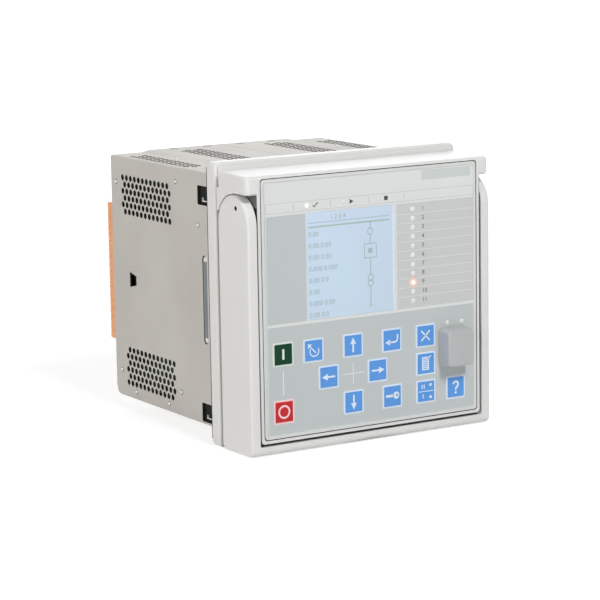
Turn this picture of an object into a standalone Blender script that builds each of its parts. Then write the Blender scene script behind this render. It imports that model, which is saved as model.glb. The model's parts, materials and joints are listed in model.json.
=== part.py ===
"""Withdrawable protection relay for flush mounting: a sheet metal case behind a moulded flange, and a
plug-in unit with its operator panel, lifting handle and circuit boards that slides out of the case.

Metres, +Z up, front facing -Y. The origin lies on the ground under the middle of the whole relay.
Pieces are drawn about the middle of the flange's rear face, the plane of the switchgear door.
"""

import math
from collections import namedtuple

import bmesh
import bpy
from mathutils import Matrix, Vector

# Clearance between pieces that touch, and between pieces that move past each other
FIT = 0.0003
# Two points nearer than this count as one
SAME_PLACE = FIT / 10

# Flange that clamps against the door, and the gasket between them. The whole front is set out from it
FLANGE_WIDTH = 0.177
FLANGE_HEIGHT = 0.177
FLANGE_DEPTH = 0.0107
FLANGE_CORNER_RADIUS = 0.0030
FLANGE_EDGE_RADIUS = 0.0016
FLANGE_LIP = 0.0015
GASKET_THICKNESS = 0.0018
GASKET_INSET = 0.0014
HALF_W = FLANGE_WIDTH / 2
HALF_H = FLANGE_HEIGHT / 2

# Case: two folded sheets that meet in a seam on top and underneath
CASE_MARGIN_X = 0.0065
CASE_MARGIN_Z = 0.0085
CASE_DEPTH = 0.139
CASE_SEAT = 0.005
CASE_SHEET = 0.0012
CASE_FOLD_RADIUS = 0.0016
CASE_TOP_RISE = 0.0012
CASE_RISE_MARGIN = 0.0230
CASE_RISE_SLOPE = 0.0060
# Lower rear corner, from the rear edge down to the bottom edge: how far forward and how far up
CASE_CORNER = ((0.0, 0.0060), (0.0015, 0.0021), (0.0090, 0.0))
CASE_HALF_W = HALF_W - CASE_MARGIN_X
CASE_HALF_H = HALF_H - CASE_MARGIN_Z
INNER_HALF_W = CASE_HALF_W - CASE_SHEET
INNER_HALF_H = CASE_HALF_H - CASE_SHEET
RISE_HALF_W = CASE_HALF_W - CASE_RISE_MARGIN - CASE_RISE_SLOPE
APERTURE_HALF_W = INNER_HALF_W - FLANGE_LIP
APERTURE_HALF_H = INNER_HALF_H - FLANGE_LIP

# Ventilation holes in the case
VENT_DIAMETER = 0.0036
VENT_PITCH_Y = 0.0396 * CASE_DEPTH
VENT_PITCH_Z = 0.0556 * CASE_HALF_H
SIDE_VENT_COLUMNS = 12
SIDE_VENT_ROWS = 6
SIDE_VENT_Y = 0.657 * CASE_DEPTH
UPPER_VENT_Z = 0.694 * CASE_HALF_H
LOWER_VENT_Z = -0.731 * CASE_HALF_H
TOP_VENT_COLUMNS = 14
TOP_VENT_Y = 0.590 * CASE_DEPTH
OUTER_TOP_VENT_MARGIN = 0.0105
OUTER_TOP_VENT_X = CASE_HALF_W - OUTER_TOP_VENT_MARGIN
OUTER_TOP_VENT_ROWS = 3
INNER_TOP_VENT_X = 0.396 * CASE_HALF_W
INNER_TOP_VENT_ROWS = 4

# Openings in the case: clips beside the flange, long recess slots, latch holes and tab slots on top
CLIP_OPENING_Y = 0.0155
CLIP_OPENING_WIDTH = 0.015
CLIP_OPENING_HEIGHT = 0.0120
CLIP_UPPER_MARGIN = 0.0147
CLIP_LOWER_MARGIN = 0.0079
CLIP_UPPER_Z = CASE_HALF_H - CLIP_UPPER_MARGIN
CLIP_LOWER_Z = CLIP_LOWER_MARGIN - CASE_HALF_H
RECESS_SLOT_Y = 0.0158
RECESS_SLOT_WIDTH = 0.0055
RECESS_SLOT_HEIGHT = 0.700 * CASE_HALF_H
LATCH_HOLE_MARGIN = 0.0272
LATCH_HOLE_Y = CASE_DEPTH - LATCH_HOLE_MARGIN
LATCH_HOLE_WIDTH = 0.0090
LATCH_HOLE_REAR_HEIGHT = 0.0101
LATCH_HOLE_FRONT_HEIGHT = 0.0060
TAB_SLOT_PITCH = 0.305 * CASE_HALF_W
TAB_SLOT_MARGIN = 0.0060
TAB_SLOT_Y = CASE_DEPTH - TAB_SLOT_MARGIN
TAB_SLOT_LENGTH = 0.0065
TAB_SLOT_WIDTH = 0.0022

# Guides inside the case
GUIDE_PLATE = 0.0018
GUIDE_RIB_HEIGHT = 0.0042
GUIDE_RIB_WIDTH = 0.0030
GUIDE_FRONT_Y = 0.0020
GUIDE_REAR_MARGIN = 0.0210
GUIDE_REAR_Y = CASE_DEPTH - GUIDE_REAR_MARGIN
GUIDE_WING_LENGTH = 0.0270
GUIDE_WING_OVERLAP = 0.0022

# Terminals on the rear plate, in rows from one side of the case. Each row has its length, as a share of
# the case's half height, and its number of poles. The second row is the coarse one
TERMINAL_ROWS = ((1.143, 18), (1.333, 14), (1.524, 24), (1.524, 24))
TERMINAL_ROW_PITCH = 0.382 * CASE_HALF_W
TERMINAL_SIDE_GAP = 0.0005
COARSE_ROW = 2
FINE_STANDOFF = 0.0105
COARSE_STANDOFF = 0.0137
TERMINAL_CENTRE_Z = 0.0018
PLUG_WIDTH = 0.0156
PLUG_STEP_WIDTH = 0.0105
PLUG_STEP_DEPTH = 0.0042
WIRE_ENTRY_WIDTH = 0.0052
WIRE_ENTRY_SHARE = 0.50
WIRE_ENTRY_DEPTH = 0.0050
HEADER_WIDTH = 0.0165
HEADER_DEPTH = 0.0105
HEADER_NECK_WIDTH = 0.0120
FIRST_ROW_X = HEADER_WIDTH / 2 + TERMINAL_SIDE_GAP - INNER_HALF_W

# Communication plate, its jack and the earth screw
COMMS_X = 0.7195 * CASE_HALF_W
COMMS_WIDTH = 0.463 * CASE_HALF_W
COMMS_HEIGHT = 1.750 * CASE_HALF_H
COMMS_SHEET = 0.0012
REAR_JACK_Z = 0.525 * CASE_HALF_H
EARTH_SCREW_Z = -0.725 * CASE_HALF_H
EARTH_SCREW_DIAMETER = 0.0050
EARTH_HEAD_DIAMETER = 0.0095
EARTH_HEAD_HEIGHT = 0.0036
JACK_WIDTH = 0.0160
JACK_HEIGHT = 0.0140
JACK_DEPTH = 0.0140
JACK_SOCKET_WIDTH = 0.0118
JACK_SOCKET_HEIGHT = 0.0082
JACK_SOCKET_DEPTH = 0.0095

# Handle: a deep arm at each side with a round top, and a bar under the panel
PANEL_REACH = 0.0482
HANDLE_INSET = 0.0002
HANDLE_BACK = 0.0129
HANDLE_PROUD = 0.0007
HANDLE_FRONT = PANEL_REACH + HANDLE_PROUD
HANDLE_ARM = 0.0064
HANDLE_BAR_HEIGHT = 0.0059
HANDLE_EDGE_RADIUS = 0.0028
HANDLE_FOOT_RADIUS = 0.0034
HANDLE_HALF_W = HALF_W - HANDLE_INSET
HANDLE_ARM_INNER = HANDLE_HALF_W - HANDLE_ARM
HANDLE_FOOT_MARGIN = 0.0005
HANDLE_TOP_MARGIN = 0.0175
HANDLE_BOTTOM = HANDLE_FOOT_MARGIN - HALF_H
HANDLE_TOP = HALF_H - HANDLE_TOP_MARGIN
HANDLE_ARC_RADIUS = (HANDLE_FRONT - HANDLE_BACK) / 2
HANDLE_ARC_Y = -(HANDLE_FRONT + HANDLE_BACK) / 2
HANDLE_ARC_Z = HANDLE_TOP - HANDLE_ARC_RADIUS
PIVOT_AHEAD = 0.0041
PIVOT_UP = 0.0103
PIVOT_Y = HANDLE_ARC_Y - PIVOT_AHEAD
PIVOT_Z = HANDLE_ARC_Z + PIVOT_UP
PIVOT_DIAMETER = 0.0050
PIVOT_EYE_DIAMETER = 0.0030
PIN_ENTERS_ARM = 0.0038
GRIP_SCOOP_WIDTH = 0.610 * HALF_W
GRIP_SCOOP_HEIGHT = 0.0022
GRIP_SCOOP_DEPTH = 0.0030

# Front housing of the plug-in unit between the handle's arms, with the visor over them
ARM_GAP = 0.0007
BACK_GAP = 0.0005
HOUSING_REAR = HANDLE_BACK - BACK_GAP
HOUSING_HALF_WIDTH = HANDLE_ARM_INNER - ARM_GAP
BAR_GAP = 0.0013
HOUSING_BOTTOM = HANDLE_BOTTOM + HANDLE_BAR_HEIGHT + BAR_GAP
HOUSING_WALL = 0.0048
BACK_PLATE_OVERLAP = 0.0040
BACK_WINDOW_SHARE = 0.74
SHOULDER_FOOT = 0.0108
VISOR_UNDERSIDE = HANDLE_TOP + ARM_GAP
VISOR_REAR_THICKNESS = 0.0124
VISOR_FRONT_THICKNESS = 0.0113
VISOR_REAR_HEIGHT = VISOR_UNDERSIDE + VISOR_REAR_THICKNESS
VISOR_FRONT_HEIGHT = VISOR_UNDERSIDE + VISOR_FRONT_THICKNESS
VISOR_RADIUS = 0.0015
VISOR_SIDE_RADIUS = 0.0015

# Panel: border plate and printed overlay
PLATE_FRAME = 0.0026
PLATE_THICKNESS = 0.0030
PLATE_CORNER_RADIUS = 0.0022
PLATE_BORDER = 0.0024
OVERLAY_THICKNESS = 0.0006
PLATE_HALF_WIDTH = HOUSING_HALF_WIDTH - PLATE_FRAME
PLATE_BOTTOM_FRAME = 0.0025
PLATE_TOP_FRAME = 0.0019
PLATE_BOTTOM = HOUSING_BOTTOM + PLATE_BOTTOM_FRAME
PLATE_TOP = VISOR_FRONT_HEIGHT - PLATE_TOP_FRAME

# Display, lights and keys. Their places are shares of the panel's half width and the flange's half height
DISPLAY_X = -0.188 * PLATE_HALF_WIDTH
DISPLAY_Z = 0.288 * HALF_H
DISPLAY_WIDTH = 0.821 * PLATE_HALF_WIDTH
DISPLAY_HEIGHT = 0.743 * HALF_H
DISPLAY_WINDOW_THICKNESS = 0.0016
DISPLAY_MODULE_DEPTH = 0.0075
DISPLAY_MODULE_BORDER = 0.0070
ALARM_LIGHT_X = 0.389 * PLATE_HALF_WIDTH
ALARM_LIGHT_TOP = 0.614 * HALF_H
ALARM_LIGHT_PITCH = 0.0651 * HALF_H
ALARM_LIGHT_COUNT = 11
ALARM_LIGHT_DIAMETER = 0.0032
STATUS_LIGHT_PLACES = (-0.590, -0.253, 0.067)
STATUS_LIGHT_Z = 0.711 * HALF_H
STATUS_LIGHT_DIAMETER = 0.0026
PORT_LIGHT_PLACES = (0.714, 0.855)
PORT_LIGHT_Z = -0.226 * HALF_H
PORT_LIGHT_DIAMETER = 0.0020
LIGHT_BAR_DEPTH = 0.0020
LIGHT_BAR_WIDTH = 0.0036
KEY_WIDTH = 0.0130
KEY_HEIGHT = 0.0132
KEY_CORNER_RADIUS = 0.0007
KEY_RISE = 0.0004
KEY_DEPTH = 0.0032
KEY_TRAVEL = 0.0005
KEY_ROW_PITCH = 0.201 * HALF_H
KEY_MIDDLE_Z = -0.498 * HALF_H
CROSS_X = -0.187 * PLATE_HALF_WIDTH
CROSS_PITCH = 0.228 * PLATE_HALF_WIDTH
CORNER_KEY_OFFSET = 0.364 * PLATE_HALF_WIDTH
FUNCTION_KEY_X = 0.499 * PLATE_HALF_WIDTH
HELP_KEY_X = 0.788 * PLATE_HALF_WIDTH
SWITCH_KEY_X = -0.826 * PLATE_HALF_WIDTH
BOARD_THICKNESS = 0.0016

# Front port and its cover
PORT_X = 0.758 * PLATE_HALF_WIDTH
PORT_Z = -0.391 * HALF_H
COVER_WIDTH = 0.0205
COVER_HEIGHT = 0.0235
COVER_DEPTH = 0.0105
COVER_RADIUS = 0.0026
COVER_EDGE_RADIUS = 0.0021
COVER_TONGUE = 0.0070

# Chassis of the plug-in unit, its boards and what they carry
CHASSIS_MARGIN = 0.0070
CHASSIS_REAR_MARGIN = 0.0270
CHASSIS_HALF_W = CASE_HALF_W - CHASSIS_MARGIN
CHASSIS_REAR_Y = CASE_DEPTH - CHASSIS_REAR_MARGIN
CHASSIS_WINDOW_SHARE = 0.79
UNIT_BOARD_FRONT_Y = 0.0
UNIT_BOARD_REAR_MARGIN = 0.0250
UNIT_BOARD_REAR_Y = CASE_DEPTH - UNIT_BOARD_REAR_MARGIN
UNIT_CONNECTOR_WIDTH = 0.0130
RELAY_BLOCK_PLACES = (0.500, -0.375)
RELAY_BLOCK_HEIGHT = 0.0150
RELAY_BLOCK_LENGTH = 0.0280
RELAY_BLOCK_DEPTH = 0.0100
TRANSFORMER_PLACES = (0.375, -0.375)
TRANSFORMER_HEIGHT = 0.0280
TRANSFORMER_LENGTH = 0.0300
TRANSFORMER_DEPTH = 0.0190
SUPPLY_HEIGHT = 0.0340

# Places that follow from the sizes above
REAR_REACH = CASE_DEPTH + FIT + COARSE_STANDOFF
FRONT_REACH = PANEL_REACH + FIT + COVER_DEPTH
BASE = Vector((0, (FRONT_REACH - REAR_REACH) / 2, HALF_H))
PANEL_Y = -PANEL_REACH
POCKET_FLOOR_Y = PANEL_Y + OVERLAY_THICKNESS + FIT
PLATE_REAR_Y = PANEL_Y + PLATE_THICKNESS
CHASSIS_HALF_H = INNER_HALF_H - FIT - GUIDE_PLATE - GUIDE_RIB_HEIGHT - FIT
BACK_PLATE_Y = -FLANGE_DEPTH - FIT

PARTS = bpy.data.collections.new("protection_relay")
CUTTERS = bpy.data.collections.new("cutters")


def clear_scene():
    """Removes the startup scene's objects and links this part's collections."""
    for obj in list(bpy.data.objects):
        bpy.data.objects.remove(obj)
    for collection in (PARTS, CUTTERS):
        bpy.context.scene.collection.children.link(collection)


def material(name, colour, roughness, metallic=0.0):
    """A Principled material with one colour."""
    made = bpy.data.materials.new(name)
    made.use_nodes = True
    made.diffuse_color = (*colour, 1)
    shader = made.node_tree.nodes["Principled BSDF"]
    shader.inputs["Base Color"].default_value = (*colour, 1)
    shader.inputs["Roughness"].default_value = roughness
    shader.inputs["Metallic"].default_value = metallic
    return made


def fillet(corners, radii, steps=3, closed=True):
    """The outline through these 2D corners, each rounded by its radius with an arc."""
    outline = []
    count = len(corners)
    for i, corner in enumerate(corners):
        here = Vector(corner)
        radius = radii[i] if isinstance(radii, (list, tuple)) else radii
        if radius <= 0 or (not closed and i in (0, count - 1)):
            outline.append(here)
            continue
        to_last = (Vector(corners[i - 1]) - here).normalized()
        to_next = (Vector(corners[(i + 1) % count]) - here).normalized()
        half_angle = to_last.angle(to_next) / 2
        centre = here + (to_last + to_next).normalized() * (radius / math.sin(half_angle))
        start = here + to_last * (radius / math.tan(half_angle)) - centre
        end = here + to_next * (radius / math.tan(half_angle)) - centre
        turn = start.angle_signed(end)
        for k in range(steps + 1):
            angle = -turn * k / steps
            outline.append(centre + Matrix.Rotation(angle, 2) @ start)
    return outline


def folded_sheet(path, radii):
    """The outline of a folded sheet, from the open path of its outer corners. The sheet lies to the left."""
    corners = [Vector(point) for point in path]
    inner = []
    for i, here in enumerate(corners):
        before = (here - corners[i - 1] if i else corners[1] - here).normalized()
        after = (corners[i + 1] - here if i + 1 < len(corners) else before).normalized()
        normal = Vector((-before.y, before.x))
        middle = (normal + Vector((-after.y, after.x))).normalized()
        inner.append(here + middle * CASE_SHEET / middle.dot(normal))
    inner_radii = [max(radius - CASE_SHEET, 0) for radius in reversed(radii)]
    return fillet(corners, radii, 2, closed=False) + fillet(inner[::-1], inner_radii, 2, closed=False)


def rectangle(x0, x1, z0, z1):
    """The four corners of a rectangle."""
    return [(x0, z0), (x1, z0), (x1, z1), (x0, z1)]


def arc(centre, radius, start, end, steps):
    """Points on an arc, with angles in degrees from the first axis towards the second."""
    angles = [math.radians(start + (end - start) * k / steps) for k in range(steps + 1)]
    return [(centre[0] + radius * math.cos(a), centre[1] + radius * math.sin(a)) for a in angles]


def prism_mesh(outline, axis, low, high):
    """A bmesh of a flat outline pushed along an axis. The outline holds the two other axes in order."""
    curve = bpy.data.curves.new("outline", "CURVE")
    curve.dimensions = "2D"
    curve.fill_mode = "BOTH"
    curve.extrude = (high - low) / 2
    spline = curve.splines.new("POLY")
    spline.use_cyclic_u = True
    spline.points.add(len(outline) - 1)
    for point, (a, b) in zip(spline.points, outline):
        point.co = (a, b, 0, 1)
    drawn = bpy.data.objects.new("outline", curve)
    bpy.context.scene.collection.objects.link(drawn)
    mesh = bpy.data.meshes.new_from_object(drawn.evaluated_get(bpy.context.evaluated_depsgraph_get()))
    bpy.data.objects.remove(drawn)
    bm = bmesh.new()
    bm.from_mesh(mesh)
    bmesh.ops.remove_doubles(bm, verts=bm.verts, dist=SAME_PLACE / 10)
    for end in (-1, 1):
        cap = [face for face in bm.faces if all(vert.co.z * end > SAME_PLACE for vert in face.verts)]
        bmesh.ops.dissolve_faces(bm, faces=cap)
    stands = (
        Matrix(((0, 0, 1), (1, 0, 0), (0, 1, 0))),
        Matrix(((1, 0, 0), (0, 0, 1), (0, 1, 0))),
        Matrix.Identity(3),
    )
    bmesh.ops.transform(bm, matrix=stands[axis].to_4x4(), verts=bm.verts)
    push = Vector((0, 0, 0))
    push[axis] = (low + high) / 2
    bmesh.ops.translate(bm, verts=bm.verts, vec=push)
    bmesh.ops.recalc_face_normals(bm, faces=bm.faces)
    return bm


def box_mesh(x, y, z):
    """A bmesh of a box, from its limits along each axis."""
    bm = bmesh.new()
    bmesh.ops.create_cube(bm, size=1)
    size = Vector((x[1] - x[0], y[1] - y[0], z[1] - z[0]))
    middle = Vector((x[0] + x[1], y[0] + y[1], z[0] + z[1])) / 2
    bmesh.ops.scale(bm, verts=bm.verts, vec=size)
    bmesh.ops.translate(bm, verts=bm.verts, vec=middle)
    return bm


def add_cylinder(bm, centre, axis, diameter, length, sides):
    """Adds a closed cylinder, centred on a point and lying along an axis, to a bmesh."""
    turns = (Matrix.Rotation(math.pi / 2, 4, "Y"), Matrix.Rotation(math.pi / 2, 4, "X"), Matrix())
    spin = Matrix.Rotation(math.pi / sides, 4, "Z")
    bmesh.ops.create_cone(
        bm,
        cap_ends=True,
        segments=sides,
        radius1=diameter / 2,
        radius2=diameter / 2,
        depth=length,
        matrix=Matrix.Translation(centre) @ turns[axis] @ spin,
    )


def add_box(bm, x, y, z):
    """Adds a box, from its limits along each axis, to a bmesh."""
    size = (x[1] - x[0], y[1] - y[0], z[1] - z[0])
    middle = Vector((x[0] + x[1], y[0] + y[1], z[0] + z[1])) / 2
    bmesh.ops.create_cube(bm, size=1, matrix=Matrix.LocRotScale(middle, None, size))


def round_edges(bm, radius, steps, chosen):
    """Bevels the edges for which chosen(first point, second point) is true."""
    edges = [edge for edge in bm.edges if chosen(edge.verts[0].co, edge.verts[1].co)]
    bmesh.ops.bevel(
        bm, geom=edges, offset=radius, segments=steps, profile=0.5, affect="EDGES", clamp_overlap=True
    )


def finish(bm, name, look, at=(0, 0, 0)):
    """Makes the object of a bmesh drawn about the flange, with its own origin at the given point."""
    bmesh.ops.translate(bm, verts=bm.verts, vec=-Vector(at))
    mesh = bpy.data.meshes.new(name)
    bm.to_mesh(mesh)
    bm.free()
    mesh.materials.append(look)
    obj = bpy.data.objects.new(name, mesh)
    obj.location = BASE + Vector(at)
    PARTS.objects.link(obj)
    return obj


def helper(bm, name):
    """An object that only cuts or joins another one."""
    mesh = bpy.data.meshes.new(name)
    bm.to_mesh(mesh)
    bm.free()
    obj = bpy.data.objects.new(name, mesh)
    obj.location = BASE
    obj.hide_render = True
    obj.display_type = "WIRE"
    CUTTERS.objects.link(obj)
    return obj


def combine(obj, bm, name, operation="DIFFERENCE"):
    """Cuts a bmesh out of the object, or joins it on."""
    modifier = obj.modifiers.new(name, "BOOLEAN")
    modifier.operation = operation
    modifier.solver = "EXACT"
    modifier.object = helper(bm, f"{obj.name}_{name}")


def smooth(obj, degrees=35):
    """Shades round faces smooth and keeps the sharp edges."""
    obj.data.shade_smooth()
    obj.data.set_sharp_from_angle(angle=math.radians(degrees))


LOOKS = {
    "sheet": material("galvanised_sheet", (0.56, 0.55, 0.52), 0.42, 0.85),
    "shell": material("light_grey_plastic", (0.72, 0.73, 0.71), 0.45),
    "border": material("panel_border_plastic", (0.66, 0.69, 0.69), 0.45),
    "overlay": material("grey_overlay", (0.50, 0.53, 0.54), 0.5),
    "black": material("black_plastic", (0.02, 0.02, 0.02), 0.5),
    "rubber": material("black_rubber", (0.015, 0.015, 0.015), 0.8),
    "orange": material("orange_plastic", (0.82, 0.32, 0.08), 0.45),
    "steel": material("bright_steel", (0.7, 0.7, 0.7), 0.3, 1.0),
    "board": material("green_board", (0.02, 0.12, 0.05), 0.5),
    "white": material("white_plastic", (0.78, 0.78, 0.76), 0.5),
    "copper": material("transformer_tape", (0.55, 0.42, 0.12), 0.6),
    "display": material("display_glass", (0.62, 0.76, 0.83), 0.15),
    "light": material("clear_light_guide", (0.85, 0.87, 0.86), 0.2),
    "grey": material("port_cover_grey", (0.36, 0.37, 0.39), 0.5),
    "blue": material("blue_key", (0.12, 0.35, 0.78), 0.45),
    "green": material("green_key", (0.01, 0.08, 0.03), 0.45),
    "red": material("red_key", (0.60, 0.04, 0.05), 0.45),
}


def add_vents(bm, axis, centre, columns, rows, sides):
    """Adds staggered rows of holes through a panel square to the axis. Columns run along the case."""
    for row in range(rows):
        stagger = 0.25 if row % 2 else -0.25
        across = VENT_PITCH_Z * ((rows - 1) / 2 - row)
        for column in range(columns):
            along = VENT_PITCH_Y * ((columns - 1) / 2 - column - stagger)
            spot = Vector(centre) + Vector((across if axis == 2 else 0, along, 0 if axis == 2 else across))
            add_cylinder(bm, spot, axis, VENT_DIAMETER, 6 * CASE_SHEET, sides)


def case_half(name, side):
    """One folded half of the case, from the top seam round the side to the bottom seam."""
    edge = side * FIT / 2
    outer = side * CASE_HALF_W
    high = CASE_HALF_H + CASE_TOP_RISE
    path = [
        (edge, high),
        (side * RISE_HALF_W, high),
        (side * (RISE_HALF_W + CASE_RISE_SLOPE), CASE_HALF_H),
        (outer, CASE_HALF_H),
        (outer, -CASE_HALF_H),
        (edge, -CASE_HALF_H),
    ]
    radii = [0, 0, 0, CASE_FOLD_RADIUS, CASE_FOLD_RADIUS, 0]
    if side > 0:
        path.reverse()
        radii.reverse()
    half = finish(prism_mesh(folded_sheet(path, radii), 1, -CASE_SEAT, CASE_DEPTH), name, LOOKS["sheet"])
    combine(half, case_vents(side), "vents")
    combine(half, case_openings(side), "openings")
    combine(half, case_side_holes(side), "side_holes")
    below = -CASE_HALF_H - CASE_SHEET
    beyond = CASE_DEPTH + CASE_SHEET
    corner = [(CASE_DEPTH - forward, up - CASE_HALF_H) for forward, up in CASE_CORNER]
    corner += [(corner[-1][0], below), (beyond, below), (beyond, corner[0][1])]
    across = sorted((-side * CASE_SHEET, outer + side * CASE_SHEET))
    combine(half, prism_mesh(corner, 0, *across), "corner")
    return half


def case_vents(side):
    """The holes in one side of the case and in its half of the top."""
    vents = bmesh.new()
    outer = side * CASE_HALF_W
    for z in (UPPER_VENT_Z, LOWER_VENT_Z):
        add_vents(vents, 0, (outer, SIDE_VENT_Y, z), SIDE_VENT_COLUMNS, SIDE_VENT_ROWS, 6)
    for x, rows in ((OUTER_TOP_VENT_X, OUTER_TOP_VENT_ROWS), (INNER_TOP_VENT_X, INNER_TOP_VENT_ROWS)):
        add_vents(vents, 2, (side * x, TOP_VENT_Y, CASE_HALF_H), TOP_VENT_COLUMNS, rows, 4)
    return vents


def case_openings(side):
    """The two clip openings beside the flange, and the tab slots on top, of one half of the case."""
    openings = bmesh.new()
    outer = side * CASE_HALF_W
    for z in (CLIP_UPPER_Z, CLIP_LOWER_Z):
        add_box(
            openings,
            (outer - 3 * CASE_SHEET, outer + 3 * CASE_SHEET),
            (CLIP_OPENING_Y - CLIP_OPENING_WIDTH / 2, CLIP_OPENING_Y + CLIP_OPENING_WIDTH / 2),
            (z - CLIP_OPENING_HEIGHT / 2, z + CLIP_OPENING_HEIGHT / 2),
        )
    for x in (side * TAB_SLOT_PITCH / 2, side * TAB_SLOT_PITCH * 3 / 2):
        add_box(
            openings,
            (x - TAB_SLOT_LENGTH / 2, x + TAB_SLOT_LENGTH / 2),
            (TAB_SLOT_Y - TAB_SLOT_WIDTH / 2, TAB_SLOT_Y + TAB_SLOT_WIDTH / 2),
            (CASE_HALF_H - 3 * CASE_SHEET, CASE_HALF_H + 3 * CASE_SHEET),
        )
    return openings


def case_side_holes(side):
    """The long slot and the tapered latch hole in one side of the case."""
    reach = RECESS_SLOT_WIDTH / 2
    height = RECESS_SLOT_HEIGHT / 2 - reach
    slot = arc((RECESS_SLOT_Y, height), reach, 0, 180, 6)
    slot += arc((RECESS_SLOT_Y, -height), reach, 180, 360, 6)
    rear, front = LATCH_HOLE_Y + LATCH_HOLE_WIDTH / 2, LATCH_HOLE_Y - LATCH_HOLE_WIDTH / 2
    latch = [
        (rear, -LATCH_HOLE_REAR_HEIGHT / 2),
        (rear, LATCH_HOLE_REAR_HEIGHT / 2),
        (front, LATCH_HOLE_FRONT_HEIGHT / 2),
        (front, -LATCH_HOLE_FRONT_HEIGHT / 2),
    ]
    holes = bmesh.new()
    outer = side * CASE_HALF_W
    for outline in (slot, latch):
        cut = prism_mesh(outline, 0, outer - 3 * CASE_SHEET, outer + 3 * CASE_SHEET)
        mesh = bpy.data.meshes.new("side_hole")
        cut.to_mesh(mesh)
        cut.free()
        holes.from_mesh(mesh)
    return holes


def front_flange():
    """The moulded flange that the case seats in and that clamps against the door."""
    outline = fillet(rectangle(-HALF_W, HALF_W, -HALF_H, HALF_H), FLANGE_CORNER_RADIUS, 3)
    bm = prism_mesh(outline, 1, -FLANGE_DEPTH, 0)
    round_edges(bm, FLANGE_EDGE_RADIUS, 2, lambda a, b: abs(a.y - b.y) < SAME_PLACE and a.y < -FIT)
    flange = finish(bm, "front_flange", LOOKS["shell"])
    seat_w = CASE_HALF_W + FIT
    seat_height = (-CASE_HALF_H - FIT, CASE_HALF_H + CASE_TOP_RISE + FIT)
    cut = box_mesh((-seat_w, seat_w), (-CASE_SEAT - FIT, FLANGE_DEPTH), seat_height)
    combine(flange, cut, "seat")
    mouth = box_mesh(
        (-APERTURE_HALF_W, APERTURE_HALF_W),
        (-2 * FLANGE_DEPTH, FLANGE_DEPTH),
        (-APERTURE_HALF_H, APERTURE_HALF_H),
    )
    combine(flange, mouth, "mouth")
    return flange


def gasket():
    """The rubber frame between the flange and the door."""
    half_w, half_h = HALF_W - GASKET_INSET, HALF_H - GASKET_INSET
    outline = fillet(rectangle(-half_w, half_w, -half_h, half_h), FLANGE_CORNER_RADIUS, 2)
    seal = finish(prism_mesh(outline, 1, FIT, FIT + GASKET_THICKNESS), "gasket", LOOKS["rubber"])
    hole_w = CASE_HALF_W + FIT
    hole_height = (-CASE_HALF_H - FIT, CASE_HALF_H + CASE_TOP_RISE + FIT)
    hole = box_mesh((-hole_w, hole_w), (-GASKET_THICKNESS, 3 * GASKET_THICKNESS), hole_height)
    combine(seal, hole, "hole")
    return seal


TerminalRow = namedtuple("TerminalRow", "number x low high poles pitch standoff")


def terminal_rows():
    """Each row of terminals: number, place across, ends, poles, pitch and how far the plug stands out."""
    rows = []
    for number, (length_share, poles) in enumerate(TERMINAL_ROWS, 1):
        length = length_share * CASE_HALF_H
        low = TERMINAL_CENTRE_Z - length / 2
        standoff = COARSE_STANDOFF if number == COARSE_ROW else FINE_STANDOFF
        x = FIRST_ROW_X + (number - 1) * TERMINAL_ROW_PITCH
        rows.append(TerminalRow(number, x, low, low + length, poles, length / poles, standoff))
    return rows


def card_guide(name, side):
    """A plastic guide over or under the unit, with a rib beside each board and wings at the front."""
    outer = side * (INNER_HALF_H - FIT)
    plate = outer - side * GUIDE_PLATE
    rib = plate - side * GUIDE_RIB_HEIGHT
    half_w = INNER_HALF_W - FIT
    outline = [(-half_w, outer), (-half_w, rib), (-half_w + GUIDE_RIB_WIDTH, rib)]
    outline.append((-half_w + GUIDE_RIB_WIDTH, plate))
    for row in terminal_rows():
        left, right = row.x - GUIDE_RIB_WIDTH / 2, row.x + GUIDE_RIB_WIDTH / 2
        outline += [(left, plate), (left, rib), (right, rib), (right, plate)]
    outline += [(half_w - GUIDE_RIB_WIDTH, plate), (half_w - GUIDE_RIB_WIDTH, rib), (half_w, rib)]
    outline.append((half_w, outer))
    guide = finish(prism_mesh(outline, 1, GUIDE_FRONT_Y, GUIDE_REAR_Y), name, LOOKS["black"])
    clip_z = CLIP_UPPER_Z if side > 0 else CLIP_LOWER_Z
    wing_end = clip_z - side * (CLIP_OPENING_HEIGHT / 2 + GUIDE_WING_OVERLAP)
    for wing in (-1, 1):
        x = sorted((wing * half_w, wing * (half_w - GUIDE_PLATE)))
        z = sorted((plate + side * GUIDE_PLATE / 2, wing_end))
        bm = box_mesh(x, (GUIDE_FRONT_Y, GUIDE_FRONT_Y + GUIDE_WING_LENGTH), z)
        combine(guide, bm, f"wing_{'left' if wing < 0 else 'right'}", "UNION")
    return guide


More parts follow.
